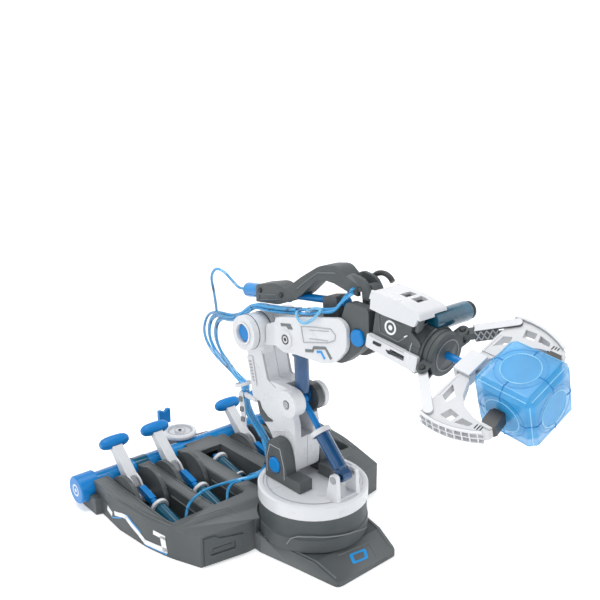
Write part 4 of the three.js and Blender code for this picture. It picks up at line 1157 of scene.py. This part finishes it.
def add_tilt_details():
    back = (0, -math.cos(TILT_SLOPE), -math.sin(TILT_SLOPE))
    turned("tilt_nozzle", [(0, 0), (2.6, 0), (2.2, 2.4), (0, 2.4)], (0, *tilt_axis(119.6)), back, "white",
        "tilt_slider")
    clamp = [(-64, 215.6), (-64, 221), (-40, 225.6), (-37, 221.4)]
    recess = ribbon(rounded(clamp, 1.6) + [clamp[0]], 0.8)
    both_sides("clamp_recess", recess, TILT_FACE, 0.5, "pale_grey", "tilt_slider", bevel=0.1)
    rib = ribbon([(-12, 236.5), (0, 246), (14, 255.6), (34, 259)], 1.0)
    both_sides("arm_rib", rib, TILT_FACE, 0.6, "pale_grey", "tilt_slider", bevel=0.15)
    bolt = [(0, 0), (2.4, 0), (2.4, 0.9), (1.8, 1.4), (0, 1.4)]
    for i, (f, z) in enumerate(((-62, 225), (-33, 226.5))):
        turned(f"clamp_bolt_{i + 1}", bolt, (-TILT_FACE, f, z), (-1, 0, 0), "dark", "tilt_slider")
        turned(f"clamp_bolt_far_{i + 1}", bolt, (TILT_FACE, f, z), (1, 0, 0), "dark", "tilt_slider")


# ---------------------------------------------------------------- wrist


WRIST_FACE = 18
STRIP_FACE = 22


def add_wrist_details():
    face = WRIST_FACE
    recess = [(92.6, 226.6), (91.5, 241), (113, 236.4)]
    side_plate("wrist_recess", ribbon(recess, 0.8), -face - 0.5, -face - GAP, "pale_grey", "wrist", bevel=0.1)
    low_edge = [(93.4, 226.4), (111, 223.6), (118.5, 229)]
    side_plate("wrist_recess_low", ribbon(low_edge, 0.8), -face - 0.5, -face - GAP, "pale_grey", "wrist",
        bevel=0.1)
    emblem("wrist_emblem", (-face - GAP, 103, 232.6), -1, 5.6, "decal_white", "wrist")
    tick = [(116.4, 229.2), (119.4, 231), (119.8, 230.2), (116.8, 228.4)]
    side_plate("wrist_tick", tick, -face - 0.5, -face - GAP, "decal_white", "wrist", bevel=0)
    slots = (
        [(89.9, 220.1), (98.3, 219.3), (97.8, 217.2), (94.6, 216.8), (89.2, 217.6)],
        [(102.3, 216.4), (117.9, 216.2), (118.6, 214.4), (105, 213.6)],
    )
    for i, points in enumerate(slots):
        outline = rounded(points, 0.6)
        side_plate(f"strip_slot_{i + 1}", outline, -STRIP_FACE - 0.25, -STRIP_FACE - GAP, "groove", "wrist",
            bevel=0)
    rail = ribbon([(86, 223.4), (100, 221.4), (120, 218.6)], 0.7)
    side_plate("strip_line", rail, -STRIP_FACE - 0.35, -STRIP_FACE - GAP, "soft_line", "wrist", bevel=0.1)
    along = (0, math.cos(WRIST_DROP), -math.sin(WRIST_DROP))
    for i, (distance, look) in enumerate(((51.5, "soft_line"), (59.6, "groove"))):
        centre = wrist_point(0, distance, HEAD[1])
        ring(f"wrist_collar_line_{i + 1}", centre, along, 18.62, 18.95, 0.7, look, "wrist", bevel=0)
    roll = wrist_point(41, 54, 31.5)
    cap = [(0, 0), (6.6, 0), (7, 0.5), (7, 2.6), (6.2, 3.2), (0, 3.2)]
    turned("roll_cap", cap, (roll[0] - 1.2, *roll[1:]), (1, 0, 0), "dark", "wrist")
    for i, f in enumerate((26, 37)):
        box_local(f"cover_well_{i + 1}", (-7.7, 3.7), (f + 0.3, f + 6.7), (41.0, 41.8), "groove")
    hook = [(57.6, 257.4), (61, 260.4), (65.6, 262.1), (70.5, 262.3), (75, 260.6), (78.5, 257.4)]
    tube("hook_rib", [[10.6, f, z] for f, z in hook], 2.2, "dark", "wrist")
    box_local("cover_post", (-15, -9), (50.4, 53.4), (25.05, 36.3), "pale_grey")


def wrist_point(x, forward, up):
    spot = WRIST_FRAME @ Vector((x, -forward, up))
    return (spot.x, -spot.y, spot.z)


def box_local(name, x, f, z, look):
    """A block in the wrist's own frame."""
    side_plate(name, rectangle(*f, *z), x[0], x[1], look, "wrist", WRIST_FRAME)


# ---------------------------------------------------------------- head, claw and ball


def in_plane(name, outline, low, high, look, body, bevel=0.2):
    """A plate in the claw's plane: outline of (across, ahead of the disc), between two heights."""
    return level_plate(name, outline, low, high, look, body, HEAD_FRAME, bevel)


def flipped(points, side):
    return [(side * r, s) for r, s in points]


def add_head_details():
    ring("disc_ring", (0, 0, 0), (0, 1, 0), 11.6, 12.6, 0.4, "pale_grey", "head", HEAD_FRAME, bevel=0)
    ring("disc_groove", (0, -5.2, 0), (0, 1, 0), 17.21, 17.35, 0.8, "groove", "head", HEAD_FRAME, bevel=0)
    bolt = [(0, 0), (2.6, 0), (2.6, 0.8), (1.9, 1.4), (0, 1.4)]
    for side, tail in SIDES:
        for up, name in ((1, "top"), (-1, "low")):
            spot = (side * LINK_ENDS[0][0], LINK_ENDS[0][1], up * 5.4)
            turned(f"lug_bolt_{name}_{tail}", bolt, spot, (0, 0, up), "dark", "head", HEAD_FRAME)


TINE_EDGE = ((53.6, 20.5), (54.6, 27), (54.7, 34), (54, 41), (52.6, 47.6), (50.6, 53.6), (48.1, 59.4),
    (44.4, 66))
LADDER = {"half": 5.3, "rail": 0.9, "proud": 2.0, "step": 5.2}
LINK_ENDS = ((23, -3.4), (50, 25))
CLAW_HALF = 3.5  # half the thickness of a finger or link
TRUSS_START, TRUSS_ENDS, TRUSS_BAYS = 8, 22, 4  # its first bay, the link's length it leaves plain, its bays
TRUSS_HALF = 4.4


def offset(points, distance):
    """A line of points moved sideways to its right."""
    out = []
    for i, p in enumerate(points):
        before, after = Vector(points[max(i - 1, 0)]), Vector(points[min(i + 1, len(points) - 1)])
        d = (after - before).normalized()
        out.append((p[0] + d.y * distance, p[1] - d.x * distance))
    return out


def walk(points, step):
    """Places and directions at even steps along a line of points."""
    left = step / 2
    for a, b in zip(points, points[1:]):
        start, end = Vector(a), Vector(b)
        reach = (end - start).length
        while left <= reach:
            yield start.lerp(end, left / reach), (end - start).normalized()
            left += step
        left -= reach


def many_in_plane(name, outlines, low, high, look, body, bevel=0.1):
    """Several plates of the claw's plane as one piece."""
    plates = [prism(outline, lambda x, f, d: (x, -f, low + d), high - low) for outline in outlines]
    return make_piece(name, joined(plates), look, body, HEAD_FRAME, bevel)


def add_claw_details():
    for side, tail in SIDES:
        body = f"finger_{tail}"
        add_finger_ladder(side, tail, body)
        edge = ribbon([(14, 21.2), (30, 21.2), (35, 21.5)], 0.8)
        slots = [rectangle(40.6, 44.6, s, s + 0.9) for s in (58.6, 60.6, 62.6)]
        for up, where in ((1, "top"), (-1, "low")):
            low, high = sorted((up * (CLAW_HALF + GAP), up * 3.9))
            in_plane(f"finger_edge_{where}_{tail}", flipped(edge, side), low, high, "white", body, bevel=0.1)
            low, high = sorted((up * (CLAW_HALF + GAP), up * 3.6))
            marks = [flipped(slot, side) for slot in slots]
            many_in_plane(f"finger_slots_{where}_{tail}", marks, low, high, "groove", body, bevel=0)
    add_link_details()


def add_finger_ladder(side, tail, body):
    """The two rows of square pockets round the finger's outer edge: three rails, their ribs, and a grey back
    painted as the pockets' shade.
    """
    half, rail, proud = LADDER["half"], LADDER["rail"], LADDER["proud"]
    line = offset(TINE_EDGE, proud / 2)
    band = flipped(ribbon(line, proud), side)
    for k, (low, high) in enumerate(((half - rail, half), (-rail / 2, rail / 2), (-half, rail - half))):
        in_plane(f"ladder_rail_{tail}_{k + 1}", band, low, high, "white", body, bevel=0.15)
    # a grey strip behind the ribs: painted shade in the pockets
    back = flipped(ribbon(offset(TINE_EDGE, -0.2), 0.7), side)
    in_plane(f"ladder_pocket_shade_{tail}", back, -half + 0.1, half - 0.1, "soft_line", body, bevel=0)
    ribs = []
    for spot, d in walk(TINE_EDGE, LADDER["step"]):
        n = Vector((d.y, -d.x))
        corners = [spot - d * 0.45, spot + d * 0.45, spot + d * 0.45 + n * proud, spot - d * 0.45 + n * proud]
        ribs.append(flipped([tuple(c) for c in corners], side))
    many_in_plane(f"ladder_ribs_{tail}", ribs, -half + 0.1, half - 0.1, "white", body)


def add_link_details():
    """The crossed bars on the far link's two faces; the near link is plain."""
    a, b = (Vector(p) for p in LINK_ENDS)
    d = (b - a).normalized()
    n = Vector((-d.y, d.x))
    bay = ((b - a).length - TRUSS_ENDS) / TRUSS_BAYS
    turn = Matrix(((d.x, 0, n.x), (-d.y, 0, -n.y), (0, 1, 0))).to_4x4()
    for k, out in enumerate((-1, 1)):
        at = HEAD_FRAME @ Matrix.Translation((a.x, -a.y, 0)) @ turn
        face = out * CLAW_HALF
        bars = []
        for i in range(TRUSS_BAYS):
            start, end = TRUSS_START + bay * i, TRUSS_START + bay * (i + 1)
            bars += [ribbon([(start, -rise), (end, rise)], 0.8) for rise in (TRUSS_HALF, -TRUSS_HALF)]
        for i, bar in enumerate(bars):
            low, high = sorted((face + out * GAP, face + out * 0.5))
            bm = prism(bar, lambda u, v, w: (u, v, low + w), high - low)
            make_piece(f"truss_{k + 1}_{i + 1}", bm, "soft_line", "link_far", at, bevel=0)


GEM_SCALE = 0.985  # the visible shell is a little smaller than the CAD ball
GEM_HALF = 24 * GEM_SCALE
GEM_FLAT = 18.8 * GEM_SCALE
GEM_WALL = 2.6
GEM_RING = 13.6


def add_gem():
    """The hollow ball: a cube with bevelled edges lined with painted highlights, round windows in its faces,
    and corner seams.
    """
    bm = bmesh.new()
    gem_shell(bm, GEM_HALF, GEM_FLAT)
    inner = bmesh.new()
    gem_shell(inner, GEM_HALF - GEM_WALL, GEM_FLAT - GEM_WALL)
    bmesh.ops.reverse_faces(inner, faces=inner.faces)
    hollow = bpy.data.meshes.new("hollow")
    inner.to_mesh(hollow)
    inner.free()
    bm.from_mesh(hollow)
    bpy.data.meshes.remove(hollow)
    at = HEAD_FRAME @ Matrix.Translation((0, -GEM_AHEAD, 0))
    mesh = bpy.data.meshes.new("ball")
    bm.to_mesh(mesh)
    bm.free()
    mesh.transform(Matrix.Scale(MM, 4) @ at)
    mesh.shade_flat()
    mesh.materials.append(LOOKS["clear_gem"])
    ball = bpy.data.objects.new("ball_shell", mesh)
    bpy.context.collection.objects.link(ball)
    rounded_edges = ball.modifiers.new("bevel", "BEVEL")
    rounded_edges.width = 0.4 * MM
    rounded_edges.segments = 2
    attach(ball, "ball")
    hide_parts("gem_ball")
    add_gem_windows(at)
    add_gem_highlights_and_seams(at)


def add_gem_windows(at):
    """A round step and a shallow dome on each face but the rear one, where the mouth is."""
    h = GEM_HALF
    for i, along in enumerate(((1, 0, 0), (-1, 0, 0), (0, 1, 0), (0, 0, 1), (0, 0, -1))):
        centre = tuple(h * c for c in along)
        # each window's lip is in the painted highlight colour
        lip = [(GEM_RING - 0.7, -0.1), (GEM_RING, -0.1), (GEM_RING, 0.2), (GEM_RING - 0.35, 0.32),
            (GEM_RING - 0.7, 0.2)]
        turned(f"ball_lip_{i + 1}", lip, centre, along, "gem_highlight", "ball", at, sides=56, bevel=0)
        bowl = [(0, -5.2), (6, -4.6), (GEM_RING - 3, -2.2), (GEM_RING - 0.8, -0.05), (GEM_RING - 3.4, -1.6),
            (0, -1.2)]
        turned(f"ball_window_{i + 1}", bowl, centre, along, "clear_gem", "ball", at, sides=56, bevel=0)
        step = [(GEM_RING + 3.4, -0.1), (GEM_RING + 3.8, -0.1), (GEM_RING + 3.8, 0.12),
            (GEM_RING + 3.4, 0.12)]
        turned(f"ball_step_{i + 1}", step, centre, along, "gem_line", "ball", at, sides=56, bevel=0)


def add_gem_highlights_and_seams(at):
    """Painted highlight lines along the cube's edges, and the dark seams that cross the middle of each edge.
    """
    h, q = GEM_HALF, GEM_FLAT
    light, dark = [], []
    axes = (0, 1, 2)
    for run in axes:
        one, two = (axis for axis in axes if axis != run)
        for a in (-1, 1):
            for b in (-1, 1):
                mid = (h + q) / 2
                ends = []
                for c in (-1, 1):
                    spot = [0.0, 0.0, 0.0]
                    spot[run], spot[one], spot[two] = c * q, a * mid, b * mid
                    ends.append(Vector(spot))
                light.append(ends)
                path = []
                for across, along in ((GEM_RING + 0.2, h), (q, h), (h, q), (h, GEM_RING + 0.2)):
                    spot = [0.0, 0.0, 0.0]
                    spot[one], spot[two] = a * across, b * along
                    path.append(Vector(spot))
                dark += [[p, r] for p, r in zip(path, path[1:])]
    thin_bars("ball_edge_highlights", light, 0.36, "gem_highlight", at)
    thin_bars("ball_seams", dark, 0.42, "gem_line", at)


def thin_bars(name, lines, radius, look, at):
    """Round bars between pairs of points of the ball, as one piece."""
    bars = [tube_mesh([Vector((p.x, -p.y, p.z)) for p in line], radius, 6) for line in lines]
    make_piece(name, joined(bars), look, "ball", at, bevel=0)


def gem_shell(bm, far, near):
    """A cube's corner cuts: far is the flat faces' distance, near the half width of each."""
    for sx in (-1, 1):
        for sy in (-1, 1):
            for sz in (-1, 1):
                for x, y, z in ((far, near, near), (near, far, near), (near, near, far)):
                    bm.verts.new((sx * x, sy * y, sz * z))
    bmesh.ops.convex_hull(bm, input=bm.verts)
    bmesh.ops.dissolve_limit(bm, angle_limit=math.radians(1), verts=bm.verts, edges=bm.edges)


# ---------------------------------------------------------------- the scene

add_camera()
add_studio()
finish_cad_nodes()
add_hoses()
add_base_details()
add_lever_details()
add_wheel_details()
add_turntable_details()
add_column_details()
add_forearm_details()
add_tilt_details()
add_wrist_details()
add_head_details()
add_claw_details()
add_gem()

{"cad": cad_box, "visual": [list(corner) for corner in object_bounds()]}
